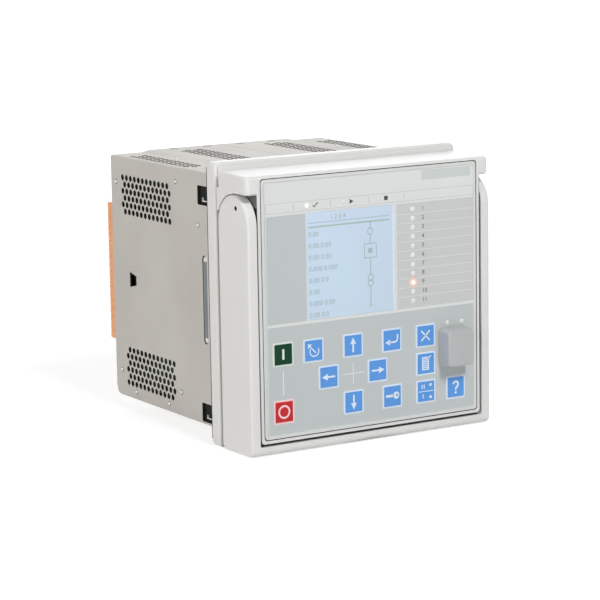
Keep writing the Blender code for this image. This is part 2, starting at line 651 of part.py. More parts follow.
def rear_plate():
    """The sheet that closes the case behind, folded forward below, with openings for the terminals."""
    half_w, half_h = INNER_HALF_W - FIT, INNER_HALF_H - FIT
    front = CASE_DEPTH - CASE_SHEET
    path = [Vector((CASE_DEPTH - forward, up - CASE_HALF_H)) for forward, up in reversed(CASE_CORNER)]
    path[0] = path[0].lerp(path[1], (CASE_SHEET + FIT) / (path[1] - path[0]).y)
    path.append(Vector((CASE_DEPTH, half_h)))
    outline = folded_sheet(path, [0] * len(path))
    plate = finish(prism_mesh(outline, 0, -half_w, half_w), "rear_plate", LOOKS["sheet"])
    rise = RISE_HALF_W - CASE_SHEET
    top = box_mesh((-rise, rise), (front, CASE_DEPTH), (half_h - CASE_SHEET, half_h + CASE_TOP_RISE))
    combine(plate, top, "raised_edge", "UNION")
    cuts = bmesh.new()
    depth = (front - CASE_SHEET, CASE_DEPTH + CASE_SHEET)
    neck = HEADER_NECK_WIDTH / 2 + FIT
    for row in terminal_rows():
        height = (row.low + row.pitch / 2 - FIT, row.high - row.pitch / 2 + FIT)
        add_box(cuts, (row.x - neck, row.x + neck), depth, height)
    jack_w, jack_h = JACK_WIDTH / 2 + FIT, JACK_HEIGHT / 2 + FIT
    add_box(
        cuts, (COMMS_X - jack_w, COMMS_X + jack_w), depth, (REAR_JACK_Z - jack_h, REAR_JACK_Z + jack_h)
    )
    screw = EARTH_SCREW_DIAMETER + 2 * FIT
    add_cylinder(cuts, Vector((COMMS_X, CASE_DEPTH, EARTH_SCREW_Z)), 1, screw, 6 * CASE_SHEET, 8)
    combine(plate, cuts, "openings")
    return plate


def terminal_header(row):
    """The header inside the rear plate, with its neck through the plate."""
    rear = CASE_DEPTH - CASE_SHEET - FIT
    half, neck_half = HEADER_WIDTH / 2, HEADER_NECK_WIDTH / 2
    body = box_mesh((row.x - half, row.x + half), (rear - HEADER_DEPTH, rear), (row.low, row.high))
    header = finish(body, f"terminal_header_{row.number}", LOOKS["black"])
    neck = box_mesh(
        (row.x - neck_half, row.x + neck_half),
        (rear - HEADER_DEPTH / 2, CASE_DEPTH),
        (row.low + row.pitch / 2, row.high - row.pitch / 2),
    )
    combine(header, neck, "neck", "UNION")


def terminal_plug(row):
    """The orange plug outside the rear plate, stepped along one side, with an entry for each wire."""
    left, right = row.x - PLUG_WIDTH / 2, row.x + PLUG_WIDTH / 2
    front = CASE_DEPTH + FIT
    back = front + row.standoff
    step_x, step_y = left + PLUG_STEP_WIDTH, back - PLUG_STEP_DEPTH
    outline = [(left, front), (right, front), (right, step_y)]
    outline += [(step_x, step_y), (step_x, back), (left, back)]
    plug = finish(
        prism_mesh(outline, 2, row.low, row.high), f"terminal_plug_{row.number}", LOOKS["orange"]
    )
    entries = bmesh.new()
    middle, half_w = (left + step_x) / 2, WIRE_ENTRY_WIDTH / 2
    half_h = row.pitch * WIRE_ENTRY_SHARE / 2
    for pole in range(row.poles):
        z = row.low + row.pitch * (pole + 1 / 2)
        depth = (back - WIRE_ENTRY_DEPTH, back + WIRE_ENTRY_DEPTH)
        add_box(entries, (middle - half_w, middle + half_w), depth, (z - half_h, z + half_h))
    combine(plug, entries, "wire_entries")


def jack(name, x, z, front, facing):
    """A modular jack. Its socket opens at front, towards -Y or +Y."""
    far = front - facing * JACK_DEPTH
    half_w, half_h = JACK_WIDTH / 2, JACK_HEIGHT / 2
    body = box_mesh((x - half_w, x + half_w), sorted((front, far)), (z - half_h, z + half_h))
    made = finish(body, name, LOOKS["steel"])
    deep = sorted((front + facing * JACK_SOCKET_DEPTH, front - facing * JACK_SOCKET_DEPTH))
    socket = box_mesh(
        (x - JACK_SOCKET_WIDTH / 2, x + JACK_SOCKET_WIDTH / 2),
        deep,
        (z - JACK_SOCKET_HEIGHT / 2, z + JACK_SOCKET_HEIGHT / 2),
    )
    combine(made, socket, "socket")
    return made


def communication_pieces():
    """The plate for the communication module on the rear, its jack and the earth screw."""
    front = CASE_DEPTH + FIT
    back = front + COMMS_SHEET
    half_w, half_h = COMMS_WIDTH / 2, COMMS_HEIGHT / 2
    plate = finish(
        box_mesh((COMMS_X - half_w, COMMS_X + half_w), (front, back), (-half_h, half_h)),
        "communication_plate",
        LOOKS["sheet"],
    )
    jack_w, jack_h = JACK_WIDTH / 2 + FIT, JACK_HEIGHT / 2 + FIT
    cuts = bmesh.new()
    depth = (front - COMMS_SHEET, back + COMMS_SHEET)
    add_box(
        cuts, (COMMS_X - jack_w, COMMS_X + jack_w), depth, (REAR_JACK_Z - jack_h, REAR_JACK_Z + jack_h)
    )
    screw = EARTH_SCREW_DIAMETER + 2 * FIT
    add_cylinder(cuts, Vector((COMMS_X, front, EARTH_SCREW_Z)), 1, screw, 6 * COMMS_SHEET, 8)
    combine(plate, cuts, "openings")
    jack("rear_jack", COMMS_X, REAR_JACK_Z, back + FIT, 1)
    bm = bmesh.new()
    shank_front = CASE_DEPTH - 4 * CASE_SHEET
    head = Vector((COMMS_X, back + FIT + EARTH_HEAD_HEIGHT / 2, EARTH_SCREW_Z))
    add_cylinder(bm, head, 1, EARTH_HEAD_DIAMETER, EARTH_HEAD_HEIGHT, 6)
    bolt = finish(bm, "earth_screw", LOOKS["steel"])
    shank = bmesh.new()
    length = head.y - shank_front
    add_cylinder(
        shank, Vector((COMMS_X, shank_front + length / 2, EARTH_SCREW_Z)), 1, EARTH_SCREW_DIAMETER, length, 8
    )
    combine(bolt, shank, "shank", "UNION")


def front_housing():
    """The moulded front of the plug-in unit: panel frame, back plate, and the visor over the handle."""
    roof = fillet(
        [
            (-HOUSING_REAR, VISOR_UNDERSIDE),
            (-HOUSING_REAR, VISOR_REAR_HEIGHT),
            (PANEL_Y, VISOR_FRONT_HEIGHT),
            (PANEL_Y, VISOR_UNDERSIDE),
        ],
        [0, VISOR_RADIUS / 2, VISOR_RADIUS, 0],
        2,
    )
    bm = prism_mesh(roof, 0, -HANDLE_HALF_W, HANDLE_HALF_W)
    top = VISOR_FRONT_HEIGHT - 2 * VISOR_RADIUS
    round_edges(bm, VISOR_SIDE_RADIUS, 2, lambda a, b: abs(a.x - b.x) < SAME_PLACE and min(a.z, b.z) > top)
    housing = finish(bm, "front_housing", LOOKS["shell"])
    body = box_mesh(
        (-HOUSING_HALF_WIDTH, HOUSING_HALF_WIDTH),
        (PANEL_Y, (BACK_PLATE_Y - HOUSING_REAR) / 2),
        (HOUSING_BOTTOM, VISOR_FRONT_HEIGHT - VISOR_RADIUS),
    )
    round_edges(body, VISOR_RADIUS, 2, lambda a, b: abs(a.y - b.y) > FIT and a.z < 0)
    combine(housing, body, "body", "UNION")
    plate_w = HOUSING_HALF_WIDTH + BACK_PLATE_OVERLAP
    plate = box_mesh(
        (-plate_w, plate_w),
        (-HOUSING_REAR, BACK_PLATE_Y),
        (HOUSING_BOTTOM - BACK_PLATE_OVERLAP, VISOR_UNDERSIDE - FIT),
    )
    combine(housing, plate, "back_plate", "UNION")

    fill_low = HANDLE_TOP - SHOULDER_FOOT
    for side in (-1, 1):
        name = "left" if side < 0 else "right"
        fill = box_mesh(
            sorted((side * (HOUSING_HALF_WIDTH - HOUSING_WALL / 2), side * (HANDLE_HALF_W - FIT / 2))),
            (HANDLE_ARC_Y, FIT - HOUSING_REAR),
            (fill_low, VISOR_UNDERSIDE + HOUSING_WALL / 2),
        )
        combine(housing, fill, f"shoulder_{name}", "UNION")
    for side in (-1, 1):
        name = "left" if side < 0 else "right"
        bm = bmesh.new()
        low, high = HOUSING_HALF_WIDTH + ARM_GAP / 4, HANDLE_HALF_W + HOUSING_WALL
        centre = Vector((side * (low + high) / 2, HANDLE_ARC_Y, HANDLE_ARC_Z))
        add_cylinder(bm, centre, 0, 2 * HANDLE_ARC_RADIUS + 3 * FIT, high - low, 32)
        combine(housing, bm, f"arm_recess_{name}")

    pocket = box_mesh(
        (-PLATE_HALF_WIDTH - FIT, PLATE_HALF_WIDTH + FIT),
        (PANEL_Y - PLATE_THICKNESS, PLATE_REAR_Y + FIT),
        (PLATE_BOTTOM - FIT, PLATE_TOP + FIT),
    )
    combine(housing, pocket, "panel_pocket")
    wall = HOUSING_WALL / 2
    cavity = box_mesh(
        (-PLATE_HALF_WIDTH + wall, PLATE_HALF_WIDTH - wall),
        (PANEL_Y, -HOUSING_REAR - wall),
        (PLATE_BOTTOM + wall, PLATE_TOP - wall),
    )
    combine(housing, cavity, "cavity")
    window_w, window_h = BACK_WINDOW_SHARE * HOUSING_HALF_WIDTH, -BACK_WINDOW_SHARE * HOUSING_BOTTOM
    window = box_mesh((-window_w, window_w), (-2 * HOUSING_REAR, 0), (-window_h, window_h))
    combine(housing, window, "back_window")
    pivots = bmesh.new()
    for side in (-1, 1):
        spot = Vector((side * HOUSING_HALF_WIDTH, PIVOT_Y, PIVOT_Z))
        add_cylinder(pivots, spot, 0, PIVOT_DIAMETER + 2 * FIT, 4 * HOUSING_WALL, 12)
    combine(housing, pivots, "pivot_bores")
    return housing


def pivot_pins():
    """The two pins that the handle turns on, pressed into the housing's sides."""
    inner = PLATE_HALF_WIDTH - HOUSING_WALL / 2 + FIT
    outer = HANDLE_ARM_INNER + PIN_ENTERS_ARM
    for side, name in ((-1, "handle_pin_left"), (1, "handle_pin_right")):
        bm = bmesh.new()
        centre = Vector((side * (inner + outer) / 2, PIVOT_Y, PIVOT_Z))
        add_cylinder(bm, centre, 0, PIVOT_DIAMETER, outer - inner, 12)
        smooth(finish(bm, name, LOOKS["steel"]))


def handle():
    """The U-shaped lifting handle: two deep arms with round tops, joined by the bar under the panel."""
    outline = arc((HANDLE_ARC_Y, HANDLE_ARC_Z), HANDLE_ARC_RADIUS, 0, 180, 14)
    foot = fillet(
        [
            (-HANDLE_FRONT, HANDLE_ARC_Z),
            (-HANDLE_FRONT, HANDLE_BOTTOM),
            (-HANDLE_BACK, HANDLE_BOTTOM),
            (-HANDLE_BACK, HANDLE_ARC_Z),
        ],
        HANDLE_FOOT_RADIUS,
        2,
        closed=False,
    )
    outline += [tuple(point) for point in foot[1:-1]]
    bm = prism_mesh(outline, 0, -HANDLE_HALF_W, HANDLE_HALF_W)
    round_edges(bm, HANDLE_EDGE_RADIUS, 2, lambda a, b: abs(a.x - b.x) < SAME_PLACE)
    pivot = Vector((0, PIVOT_Y, PIVOT_Z))
    grip = finish(bm, "handle", LOOKS["shell"], at=pivot)
    space = box_mesh(
        (-HANDLE_ARM_INNER, HANDLE_ARM_INNER),
        (-2 * HANDLE_FRONT, HANDLE_FRONT),
        (HANDLE_BOTTOM + HANDLE_BAR_HEIGHT, 2 * HANDLE_TOP),
    )
    combine(grip, space, "space")
    bores = bmesh.new()
    bore_depth = PIN_ENTERS_ARM + FIT
    for side in (-1, 1):
        spot = Vector((side * HANDLE_ARM_INNER, PIVOT_Y, PIVOT_Z))
        add_cylinder(bores, spot, 0, PIVOT_DIAMETER + 2 * FIT, 2 * bore_depth, 12)
    combine(grip, bores, "pivot_bores")
    eyes = bmesh.new()
    for side in (-1, 1):
        spot = Vector((side * HANDLE_HALF_W, PIVOT_Y, PIVOT_Z))
        add_cylinder(eyes, spot, 0, PIVOT_EYE_DIAMETER, HANDLE_ARM, 8)
    combine(grip, eyes, "pivot_eyes")
    half = GRIP_SCOOP_WIDTH / 2
    radius = (half * half + GRIP_SCOOP_HEIGHT**2) / (2 * GRIP_SCOOP_HEIGHT)
    centre_z = HANDLE_BOTTOM + GRIP_SCOOP_HEIGHT - radius
    spread = math.degrees(math.asin((half + GRIP_SCOOP_HEIGHT / 4) / radius))
    scoop = arc((0, centre_z), radius, 90 + spread, 90 - spread, 8)
    scoop += [(half, HANDLE_BOTTOM - HANDLE_BAR_HEIGHT), (-half, HANDLE_BOTTOM - HANDLE_BAR_HEIGHT)]
    cut = prism_mesh(scoop, 1, -HANDLE_FRONT - HANDLE_BAR_HEIGHT, -HANDLE_FRONT + GRIP_SCOOP_DEPTH)
    combine(grip, cut, "scoop")
    return grip


def key_places():
    """Each key's name, place across, height and look."""
    top, middle, low = (KEY_MIDDLE_Z + KEY_ROW_PITCH * k for k in (1, 0, -1))
    return (
        ("key_close", SWITCH_KEY_X, top, "green"),
        ("key_open", SWITCH_KEY_X, low, "red"),
        ("key_escape", CROSS_X - CORNER_KEY_OFFSET, top, "blue"),
        ("key_left", CROSS_X - CROSS_PITCH, middle, "blue"),
        ("key_up", CROSS_X, top, "blue"),
        ("key_down", CROSS_X, low, "blue"),
        ("key_right", CROSS_X + CROSS_PITCH, middle, "blue"),
        ("key_enter", CROSS_X + CORNER_KEY_OFFSET, top, "blue"),
        ("key_lock", CROSS_X + CORNER_KEY_OFFSET, low, "blue"),
        ("key_clear", FUNCTION_KEY_X, top, "blue"),
        ("key_menu", FUNCTION_KEY_X, middle, "blue"),
        ("key_select", FUNCTION_KEY_X, low, "blue"),
        ("key_help", HELP_KEY_X, low, "blue"),
    )


def light_places():
    """Each light group's name, the places of its lights and their diameter."""
    alarms = [
        (ALARM_LIGHT_X, ALARM_LIGHT_TOP - ALARM_LIGHT_PITCH * k) for k in range(ALARM_LIGHT_COUNT)
    ]
    status = [(share * PLATE_HALF_WIDTH, STATUS_LIGHT_Z) for share in STATUS_LIGHT_PLACES]
    ports = [(share * PLATE_HALF_WIDTH, PORT_LIGHT_Z) for share in PORT_LIGHT_PLACES]
    return (
        ("alarm_light_guide", alarms, ALARM_LIGHT_DIAMETER),
        ("status_light_guide", status, STATUS_LIGHT_DIAMETER),
        ("port_light_guide", ports, PORT_LIGHT_DIAMETER),
    )


def light_bar(spots, diameter, clearance=0.0):
    """The limits across and up of the bar behind a group of lights."""
    margin = LIGHT_BAR_WIDTH / 2 + clearance
    xs = [x for x, _ in spots]
    zs = [z for _, z in spots]
    return (min(xs) - margin, max(xs) + margin), (min(zs) - margin, max(zs) + margin)


def add_key_and_port_cuts(cuts, depth):
    """Adds the openings for the keys, the display and the port to a cutter."""
    for _, x, z, _ in key_places():
        half_w, half_h = KEY_WIDTH / 2 + FIT, KEY_HEIGHT / 2 + FIT
        add_box(cuts, (x - half_w, x + half_w), depth, (z - half_h, z + half_h))
    half_w, half_h = DISPLAY_WIDTH / 2 + FIT, DISPLAY_HEIGHT / 2 + FIT
    add_box(cuts, (DISPLAY_X - half_w, DISPLAY_X + half_w), depth, (DISPLAY_Z - half_h, DISPLAY_Z + half_h))
    half_w, half_h = JACK_WIDTH / 2 + FIT, JACK_HEIGHT / 2 + FIT
    add_box(cuts, (PORT_X - half_w, PORT_X + half_w), depth, (PORT_Z - half_h, PORT_Z + half_h))


def operator_panel():
    """The border plate, the printed overlay, the lights behind it and the display."""
    outline = fillet(
        rectangle(-PLATE_HALF_WIDTH, PLATE_HALF_WIDTH, PLATE_BOTTOM, PLATE_TOP),
        [PLATE_CORNER_RADIUS, PLATE_CORNER_RADIUS, 0, 0],
        2,
    )
    plate = finish(prism_mesh(outline, 1, PANEL_Y, PLATE_REAR_Y), "panel_plate", LOOKS["border"])
    half_w = PLATE_HALF_WIDTH - PLATE_BORDER
    low, high = PLATE_BOTTOM + PLATE_BORDER, PLATE_TOP - PLATE_BORDER
    pocket = box_mesh((-half_w, half_w), (PANEL_Y - PLATE_THICKNESS, POCKET_FLOOR_Y), (low, high))
    combine(plate, pocket, "overlay_pocket")
    cuts = bmesh.new()
    depth = (PANEL_Y - PLATE_THICKNESS, PLATE_REAR_Y + PLATE_THICKNESS)
    add_key_and_port_cuts(cuts, depth)
    for _, spots, diameter in light_places():
        add_box(cuts, light_bar(spots, diameter, FIT)[0], depth, light_bar(spots, diameter, FIT)[1])
    combine(plate, cuts, "openings")

    film_depth = (PANEL_Y, PANEL_Y + OVERLAY_THICKNESS)
    film = box_mesh((-half_w + FIT, half_w - FIT), film_depth, (low + FIT, high - FIT))
    overlay = finish(film, "overlay", LOOKS["overlay"])
    cuts = bmesh.new()
    add_key_and_port_cuts(cuts, depth)
    for _, spots, diameter in light_places():
        for x, z in spots:
            add_cylinder(cuts, Vector((x, PANEL_Y, z)), 1, diameter + 2 * FIT, 2 * PLATE_THICKNESS, 6)
    combine(overlay, cuts, "openings")

    for name, spots, diameter in light_places():
        across, up = light_bar(spots, diameter)
        bar_front = POCKET_FLOOR_Y + FIT
        guide = finish(
            box_mesh(across, (bar_front, bar_front + LIGHT_BAR_DEPTH), up), name, LOOKS["light"]
        )
        studs = bmesh.new()
        length = bar_front + LIGHT_BAR_DEPTH / 2 - PANEL_Y
        for x, z in spots:
            add_cylinder(studs, Vector((x, PANEL_Y + length / 2, z)), 1, diameter, length, 6)
        combine(guide, studs, "studs", "UNION")

    window = box_mesh(
        (DISPLAY_X - DISPLAY_WIDTH / 2, DISPLAY_X + DISPLAY_WIDTH / 2),
        (PANEL_Y, PANEL_Y + DISPLAY_WINDOW_THICKNESS),
        (DISPLAY_Z - DISPLAY_HEIGHT / 2, DISPLAY_Z + DISPLAY_HEIGHT / 2),
    )
    finish(window, "display_window", LOOKS["display"])
    half_w = DISPLAY_WIDTH / 2 + DISPLAY_MODULE_BORDER
    half_h = DISPLAY_HEIGHT / 2 + DISPLAY_MODULE_BORDER / 2
    module = box_mesh(
        (DISPLAY_X - half_w, DISPLAY_X + half_w),
        (PLATE_REAR_Y + FIT, PLATE_REAR_Y + FIT + DISPLAY_MODULE_DEPTH),
        (DISPLAY_Z - half_h, DISPLAY_Z + half_h),
    )
    finish(module, "display_module", LOOKS["steel"])


def keys():
    """The thirteen keys, each in its own opening in the overlay and the plate."""
    for name, x, z, look in key_places():
        outline = fillet(
            rectangle(x - KEY_WIDTH / 2, x + KEY_WIDTH / 2, z - KEY_HEIGHT / 2, z + KEY_HEIGHT / 2),
            KEY_CORNER_RADIUS,
            1,
        )
        front = PANEL_Y - KEY_RISE
        finish(prism_mesh(outline, 1, front, front + KEY_DEPTH), name, LOOKS[look], at=(x, front, z))


def panel_electronics():
    """The switch board behind the keys, the panel's own board behind that, and the front jack."""
    half_w = PLATE_HALF_WIDTH - HOUSING_WALL / 2 - FIT
    low = PLATE_BOTTOM + HOUSING_WALL / 2 + FIT
    switch_y = PANEL_Y - KEY_RISE + KEY_DEPTH + KEY_TRAVEL + FIT
    display_low = DISPLAY_Z - DISPLAY_HEIGHT / 2 - DISPLAY_MODULE_BORDER / 2
    switches = finish(
        box_mesh((-half_w, half_w), (switch_y, switch_y + BOARD_THICKNESS), (low, display_low - FIT)),
        "key_switch_board",
        LOOKS["board"],
    )
    jack_w, jack_h = JACK_WIDTH / 2 + FIT, JACK_HEIGHT / 2 + FIT
    opening = box_mesh(
        (PORT_X - jack_w, PORT_X + jack_w),
        (switch_y - BOARD_THICKNESS, switch_y + 2 * BOARD_THICKNESS),
        (PORT_Z - jack_h, PORT_Z + jack_h),
    )
    combine(switches, opening, "jack_opening")
    jack_front = PANEL_Y + OVERLAY_THICKNESS
    jack("front_jack", PORT_X, PORT_Z, jack_front, -1)
    board_y = max(jack_front + JACK_DEPTH, PLATE_REAR_Y + FIT + DISPLAY_MODULE_DEPTH) + FIT
    high = PLATE_TOP - HOUSING_WALL / 2 - FIT
    board = box_mesh((-half_w, half_w), (board_y, board_y + BOARD_THICKNESS), (low, high))
    finish(board, "panel_board", LOOKS["board"])


def port_cover():
    """The rounded cap over the front jack, with a tongue that plugs into the socket."""
    half_w, half_h = COVER_WIDTH / 2, COVER_HEIGHT / 2
    outline = fillet(
        rectangle(PORT_X - half_w, PORT_X + half_w, PORT_Z - half_h, PORT_Z + half_h), COVER_RADIUS, 3
    )
    back = PANEL_Y - FIT
    front = back - COVER_DEPTH
    bm = prism_mesh(outline, 1, front, back)
    round_edges(bm, COVER_EDGE_RADIUS, 3, lambda a, b: max(a.y, b.y) < front + FIT)
    cover = finish(bm, "port_cover", LOOKS["grey"], at=(PORT_X, back, PORT_Z))
    tongue_w, tongue_h = JACK_SOCKET_WIDTH / 2 - FIT, JACK_SOCKET_HEIGHT / 2 - FIT
    tongue = box_mesh(
        (PORT_X - tongue_w, PORT_X + tongue_w),
        (back - COVER_DEPTH / 2, back + COVER_TONGUE),
        (PORT_Z - tongue_h, PORT_Z + tongue_h),
    )
    combine(cover, tongue, "tongue", "UNION")


def unit_chassis():
    """The folded sheet behind the front housing that holds the boards between its top and bottom."""
    front, rear, top = BACK_PLATE_Y + FIT, CHASSIS_REAR_Y, CHASSIS_HALF_H
    path = [(rear, top), (front, top), (front, -top), (rear, -top)]
    outline = folded_sheet(path, [0, CASE_FOLD_RADIUS, CASE_FOLD_RADIUS, 0])
    sheet = prism_mesh(outline, 0, -CHASSIS_HALF_W, CHASSIS_HALF_W)
    chassis = finish(sheet, "unit_chassis", LOOKS["sheet"])
    window_w, window_h = CHASSIS_WINDOW_SHARE * CHASSIS_HALF_W, CHASSIS_WINDOW_SHARE * CHASSIS_HALF_H
    depth = (front - CASE_SHEET, front + 2 * CASE_SHEET)
    opening = box_mesh((-window_w, window_w), depth, (-window_h, window_h))
    combine(chassis, opening, "front_window")
    return chassis


def unit_boards():
    """The four boards of the plug-in unit, each with the connector that meets its terminal header."""
    half_h = CHASSIS_HALF_H - CASE_SHEET - FIT
    names = ("input_output_board", "measuring_board", "processor_board", "power_supply_board")
    connector_rear = CASE_DEPTH - CASE_SHEET - HEADER_DEPTH - 2 * FIT
    for name, row in zip(names, terminal_rows()):
        board_x = row.x + BOARD_THICKNESS
        finish(
            box_mesh(
                (board_x - BOARD_THICKNESS / 2, board_x + BOARD_THICKNESS / 2),
                (UNIT_BOARD_FRONT_Y, UNIT_BOARD_REAR_Y),
                (-half_h, half_h),
            ),
            name,
            LOOKS["board"],
        )
        finish(
            box_mesh(
                (row.x - UNIT_CONNECTOR_WIDTH / 2, row.x + UNIT_CONNECTOR_WIDTH / 2),
                (UNIT_BOARD_REAR_Y + FIT, connector_rear),
                (row.low, row.high),
            ),
            f"board_connector_{row.number}",
            LOOKS["black"],
        )


def board_component(name, row, place, size, look):
    """A block on a board, with its back end just short of the board's. The size runs x, y, z."""
    width, length, height = size
    left = row.x + BOARD_THICKNESS * 3 / 2 + FIT
    rear = UNIT_BOARD_REAR_Y - BOARD_THICKNESS
    z = place * CASE_HALF_H
    block = box_mesh((left, left + width), (rear - length, rear), (z - height / 2, z + height / 2))
    finish(block, name, LOOKS[look])


def board_components():
    """Output relays on the outer board, measuring transformers, and the supply's own transformer."""
    rows = terminal_rows()
    relay = (RELAY_BLOCK_DEPTH, RELAY_BLOCK_LENGTH, RELAY_BLOCK_HEIGHT)
    for number, place in enumerate(RELAY_BLOCK_PLACES, 1):
        board_component(f"output_relay_{number}", rows[0], place, relay, "white")
    transformer = (TRANSFORMER_DEPTH, TRANSFORMER_LENGTH, TRANSFORMER_HEIGHT)
    for number, place in enumerate(TRANSFORMER_PLACES, 1):
        board_component(f"measuring_transformer_{number}", rows[1], place, transformer, "copper")
    supply = (TRANSFORMER_DEPTH, TRANSFORMER_LENGTH, SUPPLY_HEIGHT)
    board_component("supply_transformer_1", rows[3], 0, supply, "copper")


def parent_moving_pieces():
    """Hangs the plug-in unit's pieces on an empty at its slide, and the case's pieces on another."""
    unit_names = ("front_housing", "handle", "panel_", "overlay", "display_", "alarm_", "status_", "port_")
    unit_names += ("key_", "front_jack", "unit_", "input_", "measuring_", "processor_", "power_")
    unit_names += ("board_connector", "output_relay", "supply_")
    holders = {}
    for name in ("case_body", "plug_in_unit"):
        holder = bpy.data.objects.new(name, None)
        holder.location = BASE
        PARTS.objects.link(holder)
        holders[name] = holder
    bpy.context.view_layer.update()
    for obj in list(PARTS.objects) + list(CUTTERS.objects):
        if obj.type != "MESH":
            continue
        holder = holders["plug_in_unit" if obj.name.startswith(unit_names) else "case_body"]
        obj.parent = holder
        obj.matrix_parent_inverse = holder.matrix_world.inverted()


def main():
    """Builds every piece of the relay."""
    clear_scene()
    case_half("case_left", -1)
    case_half("case_right", 1)
    smooth(front_flange())
    gasket()
    card_guide("card_guide_upper", 1)
    card_guide("card_guide_lower", -1)
    rear_plate()
    for row in terminal_rows():
        terminal_header(row)
        terminal_plug(row)
    communication_pieces()
    front_housing()
    pivot_pins()
    smooth(handle())
    operator_panel()
    keys()
    panel_electronics()
    port_cover()
    unit_chassis()
    unit_boards()
    board_components()
    parent_moving_pieces()


main()
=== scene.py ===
"""Looks of the withdrawable protection relay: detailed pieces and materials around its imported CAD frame.

Pieces are drawn about the middle of the flange's rear face, in metres: X right, Y towards the terminals,
Z up. The Studio class puts the camera, the lamps and the floor around them.
"""

from __future__ import annotations

import json
import logging
import math
from dataclasses import dataclass, field
from enum import Enum

import bmesh
import bpy
from mathutils import Matrix, Vector

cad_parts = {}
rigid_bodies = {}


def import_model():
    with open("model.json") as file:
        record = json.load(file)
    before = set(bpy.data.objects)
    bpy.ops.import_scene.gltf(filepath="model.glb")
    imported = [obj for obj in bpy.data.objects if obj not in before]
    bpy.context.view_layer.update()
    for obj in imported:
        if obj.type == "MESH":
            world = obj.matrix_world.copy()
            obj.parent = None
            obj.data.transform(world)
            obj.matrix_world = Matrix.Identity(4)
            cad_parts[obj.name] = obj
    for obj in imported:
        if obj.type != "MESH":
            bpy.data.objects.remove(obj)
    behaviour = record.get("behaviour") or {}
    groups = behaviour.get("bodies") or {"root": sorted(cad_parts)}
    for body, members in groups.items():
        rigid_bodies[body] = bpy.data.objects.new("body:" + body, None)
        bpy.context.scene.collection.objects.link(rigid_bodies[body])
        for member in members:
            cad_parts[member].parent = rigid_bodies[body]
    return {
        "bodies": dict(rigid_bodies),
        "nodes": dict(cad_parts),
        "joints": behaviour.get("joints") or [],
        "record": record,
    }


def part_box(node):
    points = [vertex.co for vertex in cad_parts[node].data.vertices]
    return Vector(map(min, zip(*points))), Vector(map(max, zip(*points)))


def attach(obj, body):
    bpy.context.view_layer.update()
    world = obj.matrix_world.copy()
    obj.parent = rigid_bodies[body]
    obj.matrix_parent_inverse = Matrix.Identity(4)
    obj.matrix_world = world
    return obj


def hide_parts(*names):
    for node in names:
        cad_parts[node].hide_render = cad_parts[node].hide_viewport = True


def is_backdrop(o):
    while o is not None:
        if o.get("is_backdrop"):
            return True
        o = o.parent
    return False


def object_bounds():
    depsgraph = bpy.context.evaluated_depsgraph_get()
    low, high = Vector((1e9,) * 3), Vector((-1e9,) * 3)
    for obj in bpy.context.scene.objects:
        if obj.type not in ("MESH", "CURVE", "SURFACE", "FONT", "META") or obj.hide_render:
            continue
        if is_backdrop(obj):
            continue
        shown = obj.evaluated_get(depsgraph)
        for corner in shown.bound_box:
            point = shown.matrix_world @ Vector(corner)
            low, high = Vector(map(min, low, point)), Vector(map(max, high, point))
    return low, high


LOG = logging.getLogger("relay_scene")

MM = 0.001
FIT = 0.3 * MM
PRINT_RISE = 0.04 * MM
SEAT = 0.01 * MM
AXES = {"x": 0, "y": 1, "z": 2}

Point = tuple[float, float]
Outline = list[Point]


class Body(str, Enum):
    """The moving bodies of the relay that detailed pieces ride on."""

    CASE = "case"
    UNIT = "plug_in_unit"
    HANDLE = "handle"
    COVER = "port_cover"


class Slot(str, Enum):
    """The record's material slots."""

    SHEET = "galvanised_sheet"
    SHELL = "light_grey_plastic"
    BORDER = "panel_border_plastic"
    OVERLAY = "grey_overlay"
    BLACK = "black_plastic"
    RUBBER = "black_rubber"
    ORANGE = "orange_plastic"
    STEEL = "bright_steel"
    BOARD = "green_board"
    WHITE = "white_plastic"
    TAPE = "transformer_tape"
    DISPLAY = "display_glass"
    LIGHT = "clear_light_guide"
    COVER = "port_cover_grey"
    BLUE = "blue_key"
    GREEN = "green_key"
    RED = "red_key"


def srgb(red: float, green: float, blue: float) -> tuple[float, float, float, float]:
    """Linear colour of an 8-bit display colour.

    Args:
        red: Red, 0 to 255.
        green: Green, 0 to 255.
        blue: Blue, 0 to 255.

    Returns:
        The linear colour with an alpha of 1.
    """
    linear = []
    for value in (red, green, blue):
        share = value / 255
        linear.append(share / 12.92 if share <= 0.04045 else ((share + 0.055) / 1.055) ** 2.4)
    return (*linear, 1.0)


@dataclass(frozen=True)
class Finish:
    """How one material looks.

    Attributes:
        colour: Base colour as 8-bit display values.
        second: Colour that slow variation drifts to.
        roughness: Roughness of the surface.
        metallic: Metallic share.
        drift: Size of the slow variation, in metres.
        grain: Size of the fine relief, in metres. None leaves the surface smooth.
        relief: Strength of the fine relief.
        coat: Weight of a clear coat.
        emission: Strength of the light that the surface gives.
        specular: Level of the surface's own reflection.
    """

    colour: tuple[float, float, float]
    second: tuple[float, float, float]
    roughness: float = 0.45
    metallic: float = 0.0
    drift: float = 0.03
    grain: float | None = 0.0006
    relief: float = 0.12
    coat: float = 0.0
    emission: float = 0.0
    specular: float = 0.4


